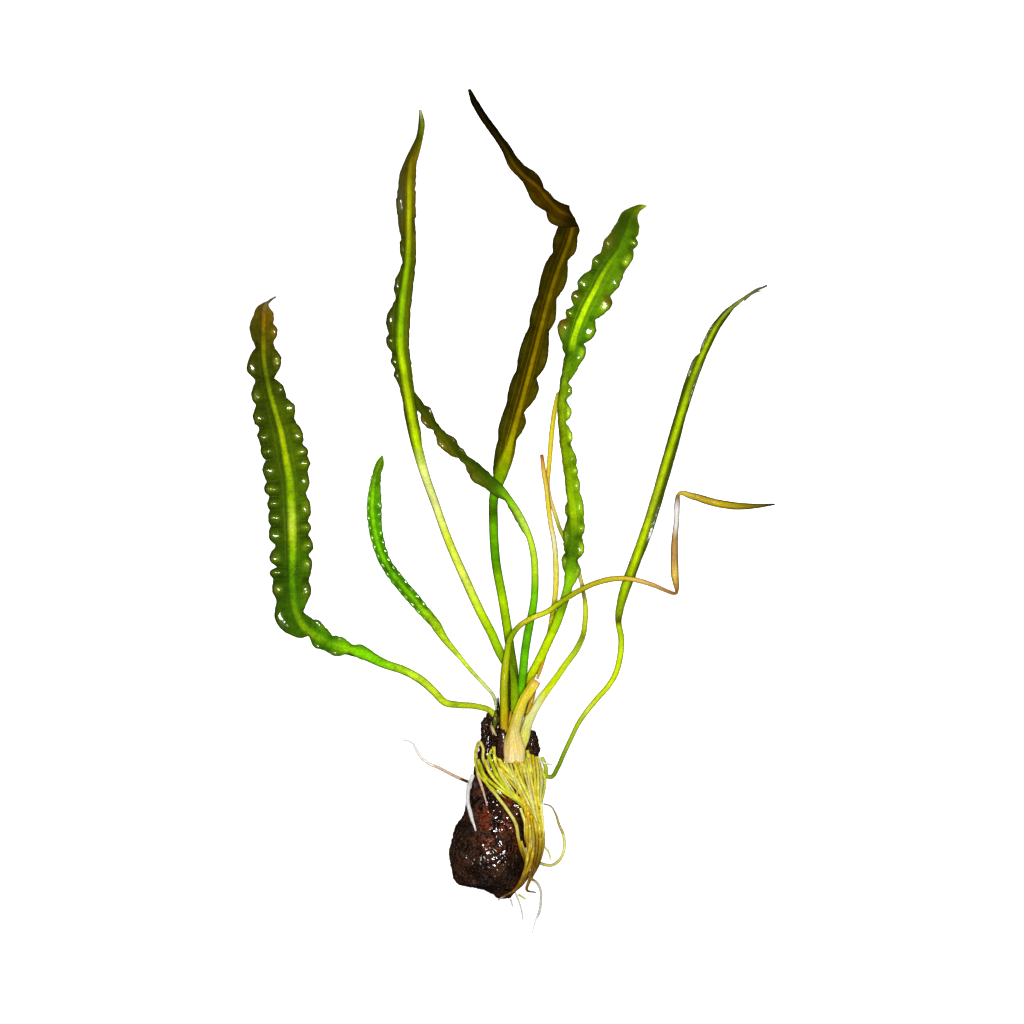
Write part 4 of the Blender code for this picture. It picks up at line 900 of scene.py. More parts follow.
dress_leaf(
    "leaf_tall", "leaf_dark", TALL, *TALL_LOBES, 92, 0.9,
    [(92, 2.3), (116, 1.8), (151, 1.45), (168, 1.2), (189, 1.1), (198, 1), (212, 0.6)],
    relief=(0.04, 0.1, 2.2),
    # The patch on the curled left flap near the tip is a painted grey sheen, in the grey-violet colour
    # given last.
    shape=dict(foot=[(7, 38.4, 7.6, 1.2)], stains_and_painted_light=((181, 1, 7, 0.75),), seed=13),
    flesh=[(0, 110, 160, 20), (0.4, 96, 130, 14), (0.5, 66, 84, 5), (0.62, 84, 98, 6), (0.76, 84, 88, 5),
        (0.8, 96, 86, 8), (0.88, 98, 86, 8), (0.93, 98, 84, 8), (0.97, 84, 92, 6), (1, 70, 92, 8)],
    # The near-white stops at 0.367 and 0.424 are a painted glare along the stalk.
    rib=[(0, 150, 200, 20), (0.03, 150, 188, 8), (0.083, 104, 134, 8), (0.113, 150, 188, 18),
        (0.142, 172, 220, 10), (0.175, 206, 240, 20), (0.245, 236, 248, 90), (0.31, 232, 250, 64),
        (0.367, 238, 242, 140), (0.424, 236, 246, 130), (0.465, 206, 240, 14), (0.55, 196, 222, 12),
        (0.6, 198, 236, 10), (0.65, 156, 212, 12), (0.72, 150, 196, 14), (0.76, 148, 184, 12),
        (0.81, 188, 196, 20), (0.85, 192, 196, 14), (0.9, 150, 138, 10), (0.925, 96, 86, 5),
        (0.955, 84, 88, 7), (0.98, 140, 152, 40), (1, 206, 216, 150)],
    margin=[(0, 120, 150, 20), (0.5, 40, 42, 5), (0.8, 54, 44, 10), (0.92, 70, 58, 14), (1, 80, 104, 14)],
    crest=[(0, 96, 96, 8), (1, 96, 96, 8)],
    # Grey-violet of the painted sheen on the curled left flap.
    stain=tint(84, 76, 50), left_side=0.45, right_side=1.8, vein_tone=0.35, mottle=0.8,
)

# Brown folded leaf: an old blade, olive brown and slack, whose upper third is
# folded over so that the underside shows.
BROWN_FOLDED = [
    (7.4, 42.4, 4.6, 1.3), (8, 50, 5, 1.4), (8, 58, 5.3, 1.5), (6.9, 66, 5.1, 1.5), (5.6, 75, 4.5, 1.5),
    (4.4, 82.6, 3.9, 1.5), (1.9, 96.7, 2.6, 1.5), (1.2, 108, 1.6, 1.5), (1.5, 118.6, 1.3, 1.6),
    (4.1, 126.1, 1.5, 2.3), (6.1, 133, 1.7, 4, 2.8), (8.1, 140.4, 1.8, 4.9, 2.9),
    (12.2, 155.4, 1.9, 4.8, 3.5), (15.9, 169.7, 1.9, 4.6, 3.5), (19.4, 183, 1.9, 4.6, 3.2),
    (22.9, 194, 1.9, 5, 2.4), (26, 202, 1.8, 4.8, 2.9), (27.5, 207.2, 1.8, 4.2, 2.7),
    (28.1, 210.4, 2.7, 3.6, 2.7), (26.6, 211.4, 3.9, 3.2, 3), (23.4, 212.8, 4.7, 2.8, 3.6),
    (19.2, 216.9, 4.4, 2.5, 3.8), (15.7, 221.1, 3.2, 2.6, 3.8), (11.5, 224.5, 2.4, 2.9, 2.8),
    (8.1, 228.3, 2.2, 2.7), (5, 233.7, 2, 2), (2, 238.3, 1.8, 1.7), (-1.9, 243.7, 1.6, 1.4),
    (-5.3, 249.4, 1.5, 1), (-7, 253.6, 1.6, 0.45),
]
BROWN_FOLDED_LOBES = (
    [(85.8, 3.7), (93, 4.6), (94.8, 4.5), (99.5, 5.5), (107, 5), (113.2, 5.6), (118.8, 4.7), (125.5, 5.3),
     (134.2, 4.2), (138.2, 4.8), (144.5, 4.2), (153.8, 5), (159.2, 4), (164, 5.4), (167.5, 5.2),
     (172.7, 3.6), (177, 3.2), (183, 1.9), (185, 2.1), (188, 1.5), (193.5, 3.6), (198, 2.8), (204, 2.3),
     (210, 1.8), (222, 1.7), (228, 1.1)],
    [(83, 1.8), (90, 2.6), (96.5, 1.9), (102.2, 3.5), (105.8, 1.9), (113.8, 4.7), (117.8, 3),
     (123.8, 4.9), (134, 3.1), (138, 4.2), (145.2, 2.7), (151.2, 4.2), (158.8, 2.1), (162.8, 3.5),
     (167, 2.6), (172.7, 3), (178.8, 5.3), (181.6, 3.4), (187, 4.8), (194.8, 1.9), (200.2, 2.1),
     (206.5, 1.5), (216, 1.5), (224, 1.4), (228, 1)],
)
fold_at = curve_length(BROWN_FOLDED[:19])
dress_leaf(
    "leaf_brown_folded", "leaf_brown", BROWN_FOLDED, *BROWN_FOLDED_LOBES, 88, 0.35,
    [(88, 1.9), (110, 1.2), (173, 1), (230, 0.7)],
    relief=(0.04, 0.1, 2.6),
    # The dark patch just past the fold is painted shade in the fold's crease.
    shape=dict(stains_and_painted_light=((fold_at + 1.5, 0, 3, 0.8),), fold=(fold_at, math.radians(118), 4.5), step=0.45,
        seed=14),
    flesh=[(0, 90, 140, 12), (0.34, 60, 90, 6), (0.4, 84, 80, 7), (0.5, 62, 56, 4), (0.62, 68, 60, 5),
        (0.73, 62, 52, 4), (0.77, 68, 48, 4), (0.85, 54, 38, 4), (0.89, 48, 38, 4), (0.93, 24, 20, 3),
        (1, 20, 17, 5)],
    rib=[(0, 120, 150, 14), (0.07, 98, 124, 6), (0.103, 110, 140, 14), (0.143, 160, 206, 10),
        (0.176, 172, 214, 10), (0.2, 156, 214, 10), (0.24, 84, 154, 6), (0.285, 114, 186, 6),
        (0.31, 62, 104, 5), (0.335, 100, 170, 8), (0.36, 120, 160, 10), (0.4, 170, 172, 12),
        (0.45, 170, 144, 12), (0.5, 158, 132, 10), (0.565, 140, 118, 6), (0.625, 132, 110, 8),
        (0.675, 120, 102, 6), (0.72, 122, 98, 8), (0.76, 100, 74, 8), (0.85, 100, 76, 14),
        (0.92, 46, 36, 8), (1, 34, 28, 10)],
    margin=[(0, 40, 70, 6), (0.5, 30, 28, 4), (0.8, 46, 34, 5), (1, 22, 18, 6)],
    crest=[(0, 96, 84, 8), (0.7, 90, 78, 8), (0.9, 90, 66, 10), (1, 44, 34, 10)],
    # Near-black colour of the painted shade in the fold's crease.
    stain=tint(28, 18, 4), rib_edge=0.5, gloss=0, sheen=0.03, mottle=0.9, left_side=0.5, vein_tone=0.5,
)

# Arched leaf: its stalk rises from the crown and bows over to the left, and
# the blade hangs back down with loose lobes on its lower side.
ARCHED = [
    (9.6, 43.6, 6.6, 1.2), (10.1, 51, 7.4, 1.25), (10.7, 56, 8, 1.35), (11.8, 67.2, 7.9, 1.4),
    (13.2, 75.2, 6.8, 1.35), (14.6, 82.6, 5.6, 1.25), (15, 90.6, 4.5, 1.2), (14.6, 98.1, 3.7, 1.15),
    (12.7, 105.6, 3.5, 1.05), (9.4, 112.6, 3.9, 1.2, 1), (6.1, 117.3, 4.2, 1.8, 1.1),
    (3.1, 121.1, 4.5, 2.3, 1.3), (-0.5, 124.6, 4, 3.6, 1.3, -10, 0), (-4, 127.8, 3, 3.8, 1.6, -10, 0),
    (-11.2, 132.9, 2, 2.4, 2), (-15.2, 138, 1.7, 2.7, 2.1), (-19.8, 143.1, 1.2, 2.2, 2.1),
    (-23.9, 149.2, 0.7, 1), (-25.2, 152.6, 0.6, 0.3),
]
ARCHED_LOBES = (
    [(66, 2), (72, 2.3), (76.5, 1.6), (82, 3.7), (86, 4.3), (89.5, 4.9), (92.5, 4), (95.2, 2.2),
     (98.2, 1.6), (101.5, 2.8), (105.2, 3.7), (108, 2.7), (110.5, 1.5), (114.2, 2.9), (117.5, 1.4),
     (119.5, 2)],
    [(78, 1), (92, 1.2), (96.5, 1.4), (99.2, 2.3), (101.5, 2), (103.8, 2.7), (106.8, 1.3), (112, 1.3),
     (116.5, 2.7), (119, 1.6)],
)
dress_leaf(
    "leaf_arched", "leaf_dark", ARCHED, *ARCHED_LOBES, 84, 1,
    [(84, 1.3), (100, 1), (125, 0.5)],
    relief=(0.05, 0.1, 2),
    shape=dict(seed=15),
    flesh=[(0, 100, 160, 14), (0.5, 90, 150, 10), (0.62, 64, 110, 6), (0.7, 80, 92, 8), (0.8, 96, 90, 10),
        (0.9, 92, 84, 9), (1, 76, 84, 8)],
    rib=[(0, 110, 196, 10), (0.2, 96, 190, 6), (0.35, 120, 200, 10), (0.4, 190, 232, 40),
        (0.46, 200, 238, 50), (0.51, 200, 240, 64), (0.545, 198, 240, 80), (0.57, 192, 238, 60),
        (0.6, 160, 226, 30), (0.635, 110, 170, 12), (0.66, 62, 96, 7), (0.8, 54, 76, 7), (1, 70, 96, 8)],
    margin=[(0, 60, 110, 8), (0.6, 44, 60, 5), (1, 60, 54, 6)],
    crest=[(0, 134, 128, 30), (1, 130, 122, 28)],
    vein_tone=0.3, mottle=0.9, right_side=0.6, relief_tone=0.95,
)

# Broad ruffled leaf: a bright blade that lies open near the tip, then turns on
# edge down to the stalk, so that its right margin shows as a row of scallops.
BROAD_RUFFLED = [
    (12.2, 44.4, 3.9, 1.4), (12.2, 51, 4.6, 1.45), (13, 56.6, 5.3, 1.45), (15.2, 61, 5.9, 1.45),
    (17.6, 65.8, 6.2, 1.5), (19.7, 70.4, 6.2, 1.5), (21.8, 74.9, 5.9, 1.5), (24, 80.9, 5.2, 1.5),
    (25.4, 85.4, 4.6, 1.5), (26.6, 91.4, 4.2, 1.5, 1.6, 0, -10), (27.4, 97, 4.2, 2.4, 2.4, -15, -15),
    (28, 104.2, 4.2, 3.9, 3.9, -15, -15), (27.7, 112.4, 3.8, 3.6, 3.2, -30, -10),
    (26.6, 121.3, 3.8, 3.2, 3, -60, -10), (25.5, 129, 3.8, 3.2, 3.2, -65, -10),
    (24.4, 138.4, 3.8, 3.2, 3.2, -65, -10), (23.9, 145.6, 3.8, 3.2, 3.2, -60, -10),
    (24.5, 153, 3.8, 3.2, 3, -68, -10), (25.6, 159.5, 3.6, 3, 3, -65, -15),
    (27, 165.4, 3.4, 2.6, 3.2, -50, -20), (27.9, 170.2, 3, 3.4, 4.6, -20, -15),
    (29.6, 175.4, 2.7, 5.6, 5.9, -5, -5), (31.8, 180.7, 2.5, 5.6, 5.4), (34.1, 185.2, 2.4, 6.2, 6.4),
    (36.8, 190.5, 2.4, 5.9, 6), (39.4, 195, 2.4, 5.7), (42.4, 199.2, 2.4, 5),
    (44.3, 203.2, 2.3, 4.5, 4.4), (45.7, 206.8, 2.2, 3.8, 3.4), (47.1, 210.8, 2.2, 3, 2),
    (49, 213.4, 2.5, 1.6, 1.2), (52.2, 214.8, 3, 0.3),
]
BROAD_RUFFLED_LOBES = (
    [(51, 2.2), (54.8, 3.6), (57.5, 2.9), (64, 4), (69.8, 2.2), (72, 3), (75.5, 1.4), (77.8, 1.7),
     (83.2, 1.3), (90.8, 1.5), (98, 1.5), (110, 1.6), (118, 1.9), (124, 2.1), (127.5, 3.6), (133, 6.7),
     (135.5, 4.6), (137, 5.8), (139.8, 4.1), (143, 6.6), (145, 5), (147.2, 6.5), (152.8, 4.5), (156, 5.5),
     (158.5, 4.4), (163.2, 5.9), (168, 4.9), (172, 4.2)],
    [(45.5, 1.3), (52, 3.4), (55.5, 1.8), (59, 4), (63, 2.8), (66, 4), (67.8, 3.5), (73.2, 3.9),
     (77.5, 3.4), (79.8, 3.7), (83, 3.3), (85, 3.6), (87, 3.3), (88.8, 3.6), (94, 2.1), (96, 3.2),
     (101.5, 1.5), (104.5, 3.6), (109, 1.2), (112.2, 3.1), (115, 1.2), (121, 3.6), (126, 5), (128.8, 3.8),
     (133.5, 6.6), (138.2, 4.9), (145.6, 7.7), (147.8, 5.9), (153, 6.8), (159, 5.8), (161, 6.1),
     (165.2, 4.7), (167, 5.3), (168.8, 3.7), (170.5, 4.3)],
)
dress_leaf(
    "leaf_broad_ruffled", "leaf_bright", BROAD_RUFFLED, *BROAD_RUFFLED_LOBES, 54, 1.05,
    [(54, 2.2), (119, 2), (130, 1.7), (146, 1.35), (157, 1), (162, 0.8), (175, 0.6), (181, 0.7)],
    relief=(0.06, 0.28, 2.2),
    shape=dict(stains_and_painted_light=((133, 1, 2.6, 0.8), (143, 1, 1.6, 0.6), (146, -1, 1.6, 0.9), (163.5, 1, 4, 0.5)),
        seed=16),
    flesh=[(0, 140, 170, 16), (0.25, 120, 160, 14), (0.31, 70, 106, 6), (0.42, 126, 168, 10),
        (0.55, 112, 148, 8), (0.66, 90, 132, 6), (0.72, 60, 112, 5), (0.8, 84, 128, 8), (0.9, 78, 112, 6),
        (0.96, 58, 82, 5), (1, 110, 140, 10)],
    rib=[(0, 210, 216, 40), (0.068, 214, 218, 14), (0.095, 196, 224, 8), (0.15, 202, 232, 8),
        (0.18, 178, 226, 8), (0.216, 122, 162, 10), (0.242, 150, 212, 24), (0.276, 134, 196, 14),
        (0.307, 88, 136, 8), (0.347, 84, 128, 6), (0.392, 172, 212, 14), (0.44, 144, 184, 6),
        (0.536, 140, 168, 8), (0.6, 150, 186, 20), (0.69, 90, 136, 6), (0.712, 190, 240, 14),
        (0.8, 206, 244, 20), (0.837, 168, 208, 12), (0.88, 116, 158, 6), (0.918, 86, 126, 5),
        (0.96, 78, 106, 6), (0.985, 124, 134, 12), (1, 196, 204, 60)],
    margin=[(0, 120, 150, 12), (0.4, 70, 104, 6), (0.75, 70, 82, 5), (1, 110, 120, 10)],
    crest=[(0, 190, 226, 50), (0.6, 186, 222, 44), (0.75, 160, 196, 26), (1, 150, 176, 30)],
    stain=tint(112, 86, 14), vein_tone=0.3, rib_edge=0.5, mottle=1, relief_tone=0.95, left_side=0.72,
    right_side=1.36,
)

# Long right leaf: a slim, smooth blade with a pale lime middle and dark edges,
# on a long thin stalk that comes out from under the roots.
LONG_RIGHT = [
    (17.4, 31, 6.2, 0.65), (18.6, 27.6, 5.6, 0.65), (19, 24.6, 4.4, 0.65), (20.4, 24.4, 3.2, 0.7),
    (22.6, 27.6, 1.9, 0.75), (24.7, 32.3, 1, 0.75), (26.9, 37, 0.8, 0.75), (29.4, 42.1, 0.8, 0.8),
    (35.8, 50.6, 0.8, 0.9), (39.2, 54.4, 0.9, 0.9), (41.8, 58.7, 0.9, 0.95), (43.3, 64.2, 0.9, 1),
    (43.7, 70.6, 0.9, 1), (42.8, 76.3, 1, 1.05), (43.5, 82.1, 1.1, 1.3), (45.2, 88, 1.1, 1.6),
    (47.4, 94, 1.2, 1.9), (49.9, 101.2, 1.3, 2), (54.6, 116.1, 1.3, 1.9), (59.9, 133.1, 1.3, 1.85),
    (63.7, 145.2, 1.3, 1.8), (67.6, 157.4, 1.2, 1.9, 1.6), (72, 167.9, 1.1, 1.8, 1.4),
    (76.5, 176.2, 1, 1.1), (79.2, 179.5, 0.9, 0.8), (83.1, 182.8, 0.8, 0.5), (87, 185.6, 0.8, 0.4),
    (92.4, 188.2, 0.8, 0.3),
]
LONG_RIGHT_LOBES = (
    [(72, 1.5), (84, 1.9), (96, 1.7), (102, 1.5), (114, 1.6), (126, 1.9), (138, 2.2), (150, 2.4),
     (157.5, 2.5), (161, 1.2), (164, 1.9), (168, 1.9), (174, 1.5), (180, 1)],
    [(72, 1.7), (78, 2.1), (90, 2.3), (102, 2.9), (114, 2.8), (126, 2.6), (138, 2), (150, 2), (162, 1.8),
     (174, 1.7), (180, 1)],
)
dress_leaf(
    "leaf_long_right", "leaf_long", LONG_RIGHT, *LONG_RIGHT_LOBES, 72, 0.2,
    [(72, 1.7), (94, 1.8), (140, 1.5), (165, 1.05), (178, 0.8), (194, 0.5)],
    relief=(0.03, 0.1, 1.8),
    shape=dict(step=0.6, seed=17),
    flesh=[(0, 60, 90, 10), (0.36, 90, 112, 8), (0.45, 60, 74, 5), (0.75, 62, 78, 6), (0.9, 60, 72, 8),
        (1, 70, 70, 56)],
    rib=[(0, 210, 224, 40), (0.03, 180, 205, 34), (0.05, 110, 136, 20), (0.093, 140, 164, 30),
        (0.12, 160, 186, 36), (0.15, 180, 208, 28), (0.175, 204, 222, 60), (0.205, 210, 228, 20),
        (0.231, 222, 236, 26), (0.257, 216, 240, 16), (0.286, 214, 240, 10), (0.32, 198, 228, 16),
        (0.342, 190, 214, 16), (0.346, 96, 78, 14), (0.353, 100, 96, 12), (0.362, 140, 160, 12),
        (0.38, 160, 190, 12), (0.411, 192, 228, 14), (0.444, 212, 240, 12), (0.5, 214, 240, 14),
        (0.564, 202, 224, 36), (0.656, 202, 228, 12), (0.722, 200, 234, 10), (0.788, 158, 182, 10),
        (0.847, 192, 220, 18), (0.9, 156, 178, 28), (0.944, 156, 170, 70), (0.98, 110, 116, 70),
        (1, 96, 96, 80)],
    margin=[(0, 70, 100, 12), (0.36, 110, 130, 12), (0.44, 30, 38, 4), (1, 46, 50, 14)],
    crest=[(0, 100, 116, 10), (1, 100, 116, 10)],
    vein_tone=0.15, rib_edge=0.85, gloss=0.15, mottle=0.8,
)

# Crown stub: the tan foot where all the leaves spring from the tuber, running up
# into a leaf stalk that was cut off square. Small dry scale leaves, torn leaf
# bases and a bud are grown on beside it, with two dark strips painted as the
# shade in the gaps beside the stalks.
THINNEST_STALK, STALK_LOWEST_POINT = 0.12, 0.02


def lay_stalk(name, stations, sides=16, flatness=0.8, step=0.6):
    """A closed stalk of oval section along a route of x, y, z and half width."""
    along = row_places(stations, step)
    rows = read_curve(stations, along)
    heading, side = side_vectors(rows, along)
    normal = np.cross(heading, side)
    turn = 2 * np.pi * (np.arange(sides) + 0.5) / sides
    half = np.maximum(rows[:, 3], THINNEST_STALK)[:, None, None]
    rings = (
        rows[:, None, :3]
        - side[:, None] * half * np.sin(turn)[None, :, None]
        - normal[:, None] * half * flatness * np.cos(turn)[None, :, None]
    )
    rings[..., 2] = np.maximum(rings[..., 2], STALK_LOWEST_POINT)
    marks = np.stack([np.repeat(np.sin(turn)[None], len(along), 0)]
                     + [np.repeat(v[:, None], sides, 1) for v in (along, along / along[-1])], axis=2)
    return add_rings(name, rings, {"stalk_place": marks})


def stalk_relief_tree():
    """Shallow ribs along a stalk and slow swellings, and its material."""
    tree, given, result = start_group(
        "stalk relief", "GeometryNodeTree",
        [("Shape", SHAPE), ("Rib height", FLOAT, 0.06 * MM), ("Ribs", FLOAT, 9.0),
         ("Swelling", FLOAT, 0.1 * MM), ("Skin", SKIN)],
        [("Shape", SHAPE)],
    )
    across = read_mark(tree, "stalk_place")[0]
    wave = calc(tree, "SINE", times(tree, across, given["Ribs"]))
    place = put(tree, "GeometryNodeInputPosition").outputs[0]
    slow = minus(tree, speckle(tree, 3.0, 2.0, 0.5, place), 0.5)
    push = plus(tree, times(tree, wave, given["Rib height"]), times(tree, slow, given["Swelling"]))
    return end_shape(tree, push_out(tree, given["Shape"], push), given["Skin"], result)


stalk_relief = stalk_relief_tree()


def stalk_material(name, middle, sides, speck=(90, 60, 20), specks=0.5, gloss=0.12, left=None):
    """Stalk skin: one colour run down its middle and one down its sides, mostly darker, as painted shade
    where the round stalk turns away from above.
    """
    def build(tree):
        across, along, share = see_mark(tree, "stalk_place")
        place = own_place(tree)
        fibre = speckle(tree, 1.0, 3.0, 0.6, put(
            tree, "ShaderNodeCombineXYZ", {0: times(tree, across, 0.005), 1: times(tree, along, 0.00018)}
        ).outputs[0])
        # Painted shade: the sides' colour run takes over on the stalk's flanks.
        side = lift(tree, calc(tree, "ABSOLUTE", across), 0.45, 1.0)
        colour = blend(tree, side, ramp(tree, share, middle), ramp(tree, share, sides))
        if left:
            leftward = lift(tree, across, -0.2, -0.85, 0.0, 1.0)
            colour = blend(tree, leftward, colour, ramp(tree, share, left))
        colour = shade(tree, colour, lift(tree, fibre, 0.3, 0.7, 0.75, 1.15))
        dots = lift(tree, speckle(tree, 0.8, 2.0, 0.6, place), 0.62, 0.7, 0.0, specks)
        colour = blend(tree, dots, colour, tint(*speck))
        grain = speckle(tree, 0.33, 1.0, 0.5, place)
        colour = shade(tree, colour, lift(tree, grain, 0.3, 0.7, 0.86, 1.12))
        rough = lift(tree, fibre, 0.3, 0.7, 0.4, 0.6)
        return colour, rough, wet_coat(tree, 2, 0.1, gloss), fibre, 0.2 * MM

    return finish_material(name, build, 0.14)


def dress_stalk(name, node, slot, stations, skin, rib=0.06, ribs=9.0, swelling=0.15, **shape):
    """One stalk from its route to its seated piece."""
    stalk = lay_stalk(name, stations, **shape)
    use_tree(stalk, stalk_relief, {"Rib height": rib * MM, "Ribs": ribs, "Swelling": swelling * MM,
                                   "Skin": skin})
    seat(stalk, slot, *([node] if node else []))


CROWN_STUB = [
    (8.3, 29.6, 13.3, 3.2), (8.2, 31.4, 13.7, 3.55), (8.1, 34, 14, 3.6), (8, 36.8, 14.2, 3.15),
    (8, 39.5, 14.3, 2.2), (9, 43.4, 14.6, 1.95), (9.9, 46.3, 14.65, 1.85), (11.2, 50, 14.7, 1.65),
    (13.4, 53.3, 14.5, 1.75), (15.6, 56.6, 14.2, 1.6),
]
dress_stalk(
    "crown_stub_foot", "crown_stub", "crown_tan", CROWN_STUB,
    stalk_material(
        "crown tan",
        [(0, 255, 244, 180), (0.12, 255, 228, 140), (0.22, 250, 222, 122), (0.33, 240, 220, 120),
         (0.42, 232, 212, 100), (0.55, 234, 218, 76), (0.66, 242, 220, 48), (0.87, 244, 222, 40),
         (0.95, 252, 228, 80), (1, 232, 160, 110)],
        [(0, 255, 230, 130), (0.25, 246, 222, 130), (0.36, 196, 176, 90), (0.6, 180, 158, 84),
         (0.75, 206, 180, 84), (1, 226, 150, 96)],
        (255, 250, 226), 0.35, gloss=0.08,
        left=[(0, 255, 222, 160), (0.16, 240, 200, 124), (0.3, 206, 178, 50), (0.5, 216, 194, 46),
            (0.63, 222, 202, 18), (0.85, 216, 196, 16), (1, 226, 170, 60)],
    ),
    rib=0.05, ribs=11, swelling=0.4, sides=36, flatness=0.5, step=0.35,
)
SCALE_LEAVES = (
    ("bract", [(12.2, 45.4, 12.2, 0.35), (13.2, 48.2, 12.4, 0.7), (14.4, 51.6, 12.5, 0.65),
     (15.2, 53.6, 12.4, 0.25)]),
    ("sheath", [(6.5, 40.6, 12, 0.5), (6.7, 43.6, 12.4, 0.65), (7, 46.6, 12.6, 0.3)]),
)
scale_skin = stalk_material(
    "scale leaf straw",
    [(0, 226, 190, 40), (0.6, 214, 168, 24), (1, 190, 130, 20)],
    [(0, 180, 130, 20), (1, 140, 90, 16)],
)
for node, route in SCALE_LEAVES:
    dress_stalk(f"{node}_scale", node, "stalk_straw", route, scale_skin, step=0.3, flatness=0.6)
CROWN_SCRAPS = (
    ("brown_membrane", "tuber_skin", 0.45, 0.5, (62, 38, 26), (26, 15, 10), (190, 130, 80),
     [(3.7, 30.2, 11.8, 1.3), (3.9, 32.4, 12.5, 2), (4, 34.6, 12.9, 2.05), (4.1, 37, 13.1, 1.9),
      (4.4, 39, 13.2, 1.5), (4.6, 40.6, 13, 1)]),
    # A dark strip painted as the shade on the tall leaf's left flank, beside the dying stem.
    ("olive_strip", "stalk_olive", 0.5, 0, (58, 66, 10), (30, 34, 6), (150, 150, 30),
     [(6, 39, 11, 0.6), (6.1, 44, 11.2, 0.7), (6.1, 50, 11.4, 0.75), (6.2, 55, 11.6, 0.7),
      (6.4, 60, 11.8, 0.3)]),
    # A dark strip painted as the shade in the gap left of the dying stem.
    ("dark_sliver", "tuber_skin", 0.6, 0.5, (34, 26, 10), (16, 12, 5), (96, 90, 30),
     [(2.6, 40.5, 8, 0.9), (2.7, 44, 8.2, 0.95), (2.75, 47.5, 8, 0.6), (2.6, 51, 7.4, 0.25)]),
    ("olive_sheath", "stalk_olive", 0.5, 0.5, (92, 96, 18), (40, 40, 8), (190, 190, 90),
     [(1.4, 40.8, 8.8, 0.6), (1.7, 43, 9.2, 0.95), (1.9, 45.2, 9, 0.7), (1.8, 46.8, 8.5, 0.25)]),
    ("tan_fleck", "crown_tan", 0.5, 0.5, (214, 196, 130), (120, 96, 50), (60, 40, 20),
     [(0.3, 41.9, 9.4, 0.25), (0.8, 40.8, 9.9, 0.6), (1.4, 39.4, 10.1, 0.55), (2.2, 38.2, 10, 0.2)]),
    ("orange_bud", "crown_tan", 0.8, 0.5, (240, 186, 30), (206, 136, 20), (250, 226, 120),
     [(8.2, 30.4, 14.6, 0.4), (8.8, 29.4, 14.7, 0.75), (9.6, 28.7, 14.2, 0.4)]),
)
for name, slot, flatness, gloss, middle, sides, speck, route in CROWN_SCRAPS:
    skin = stalk_material(name.replace("_", " "), [(0, *middle), (1, *middle)], [(0, *sides), (1, *sides)],
                          speck, gloss=gloss)
    dress_stalk(name, None, slot, route, skin, rib=0.08, swelling=0.7, step=0.3, flatness=flatness)

# Wilting stalks: one dying stem that arches over to the right and kinks twice,
# a thin yellow stem, and a yellowed leaf shrunk to a strand. All three are soft
# stalk tissue that grows out of the crown.
STEM_DYING = [
    (6.2, 35.4, 12.4, 1.5), (5, 39.7, 12.4, 1.5), (4.7, 47, 13, 1.5), (4.8, 57.9, 13.6, 1.42),
    (5.6, 64.9, 13.4, 1.28), (6.8, 70.7, 12.3, 1.1), (8.5, 73.4, 11.5, 1), (10.8, 75.6, 10.6, 0.95),
    (14.1, 77.5, 9.9, 0.95), (18.8, 79.4, 8.9, 0.95), (23.4, 82.6, 7.9, 0.95), (29.5, 86.4, 6.1, 0.95),
    (35.1, 89, 4.9, 0.95), (40.8, 90.4, 4.1, 0.95), (45.4, 90.6, 3.7, 0.9), (50.1, 89.7, 3.1, 0.85),
    (54.8, 88.2, 2.2, 0.75), (59.5, 86.2, 1.1, 0.65), (61.4, 85.6, 0.8, 0.6), (62.1, 85.7, 0.8, 0.5),
    (62.2, 86.6, 0.85, 0.7), (61.9, 89, 1, 1.1), (61.6, 91.6, 1.1, 1.3), (61.4, 97, 1.1, 1.3),
    (61.6, 104.2, 1, 1.1), (62.2, 110.6, 0.8, 0.9), (62.4, 116, 0.8, 0.9), (62.7, 118.2, 0.85, 0.7),
    (63.3, 119, 0.9, 0.6), (64.3, 119, 0.9, 0.85), (66.4, 118.3, 0.8, 1.05), (69.5, 117.4, 0.9, 1.25),
    (75.9, 115.6, 0.9, 1.3), (82.2, 114.7, 0.9, 1.25), (88.6, 114.7, 0.8, 0.8), (95, 115.3, 0.8, 0.25),
]
dress_stalk(
    "stem_dying_stalk", "stem_dying", "stalk_olive", STEM_DYING,
    stalk_material(
        "stalk dying olive",
        # The near-white stops at 0.735 and 0.775 are a painted glare where the stem runs up after its
        # first kink.
        [(0, 200, 160, 30), (0.04, 204, 170, 26), (0.07, 200, 192, 8), (0.11, 172, 187, 7),
         (0.138, 195, 204, 6), (0.18, 185, 207, 8), (0.217, 152, 188, 10), (0.24, 156, 180, 20),
         (0.265, 230, 222, 50), (0.285, 255, 250, 62), (0.312, 232, 238, 24), (0.346, 173, 196, 18),
         (0.391, 192, 188, 30), (0.465, 226, 203, 40), (0.493, 250, 219, 60), (0.522, 255, 205, 110),
         (0.553, 232, 184, 104), (0.584, 186, 136, 66), (0.606, 160, 104, 50), (0.637, 250, 214, 90),
         (0.669, 206, 156, 80), (0.713, 196, 150, 84), (0.735, 250, 240, 226), (0.775, 255, 255, 250),
         (0.795, 150, 96, 50), (0.806, 240, 210, 60), (0.843, 206, 178, 46), (0.884, 216, 184, 18),
         (0.922, 175, 156, 15), (0.96, 120, 108, 16), (1, 44, 36, 14)],
        [(0, 140, 100, 14), (0.2, 112, 118, 8), (0.5, 150, 120, 16), (0.66, 92, 44, 20),
         (0.78, 110, 64, 30), (0.82, 56, 42, 6), (0.9, 52, 44, 6), (1, 30, 24, 10)],
        (96, 60, 20), 0.7,
    ),
    rib=0.08, swelling=0.25,
)
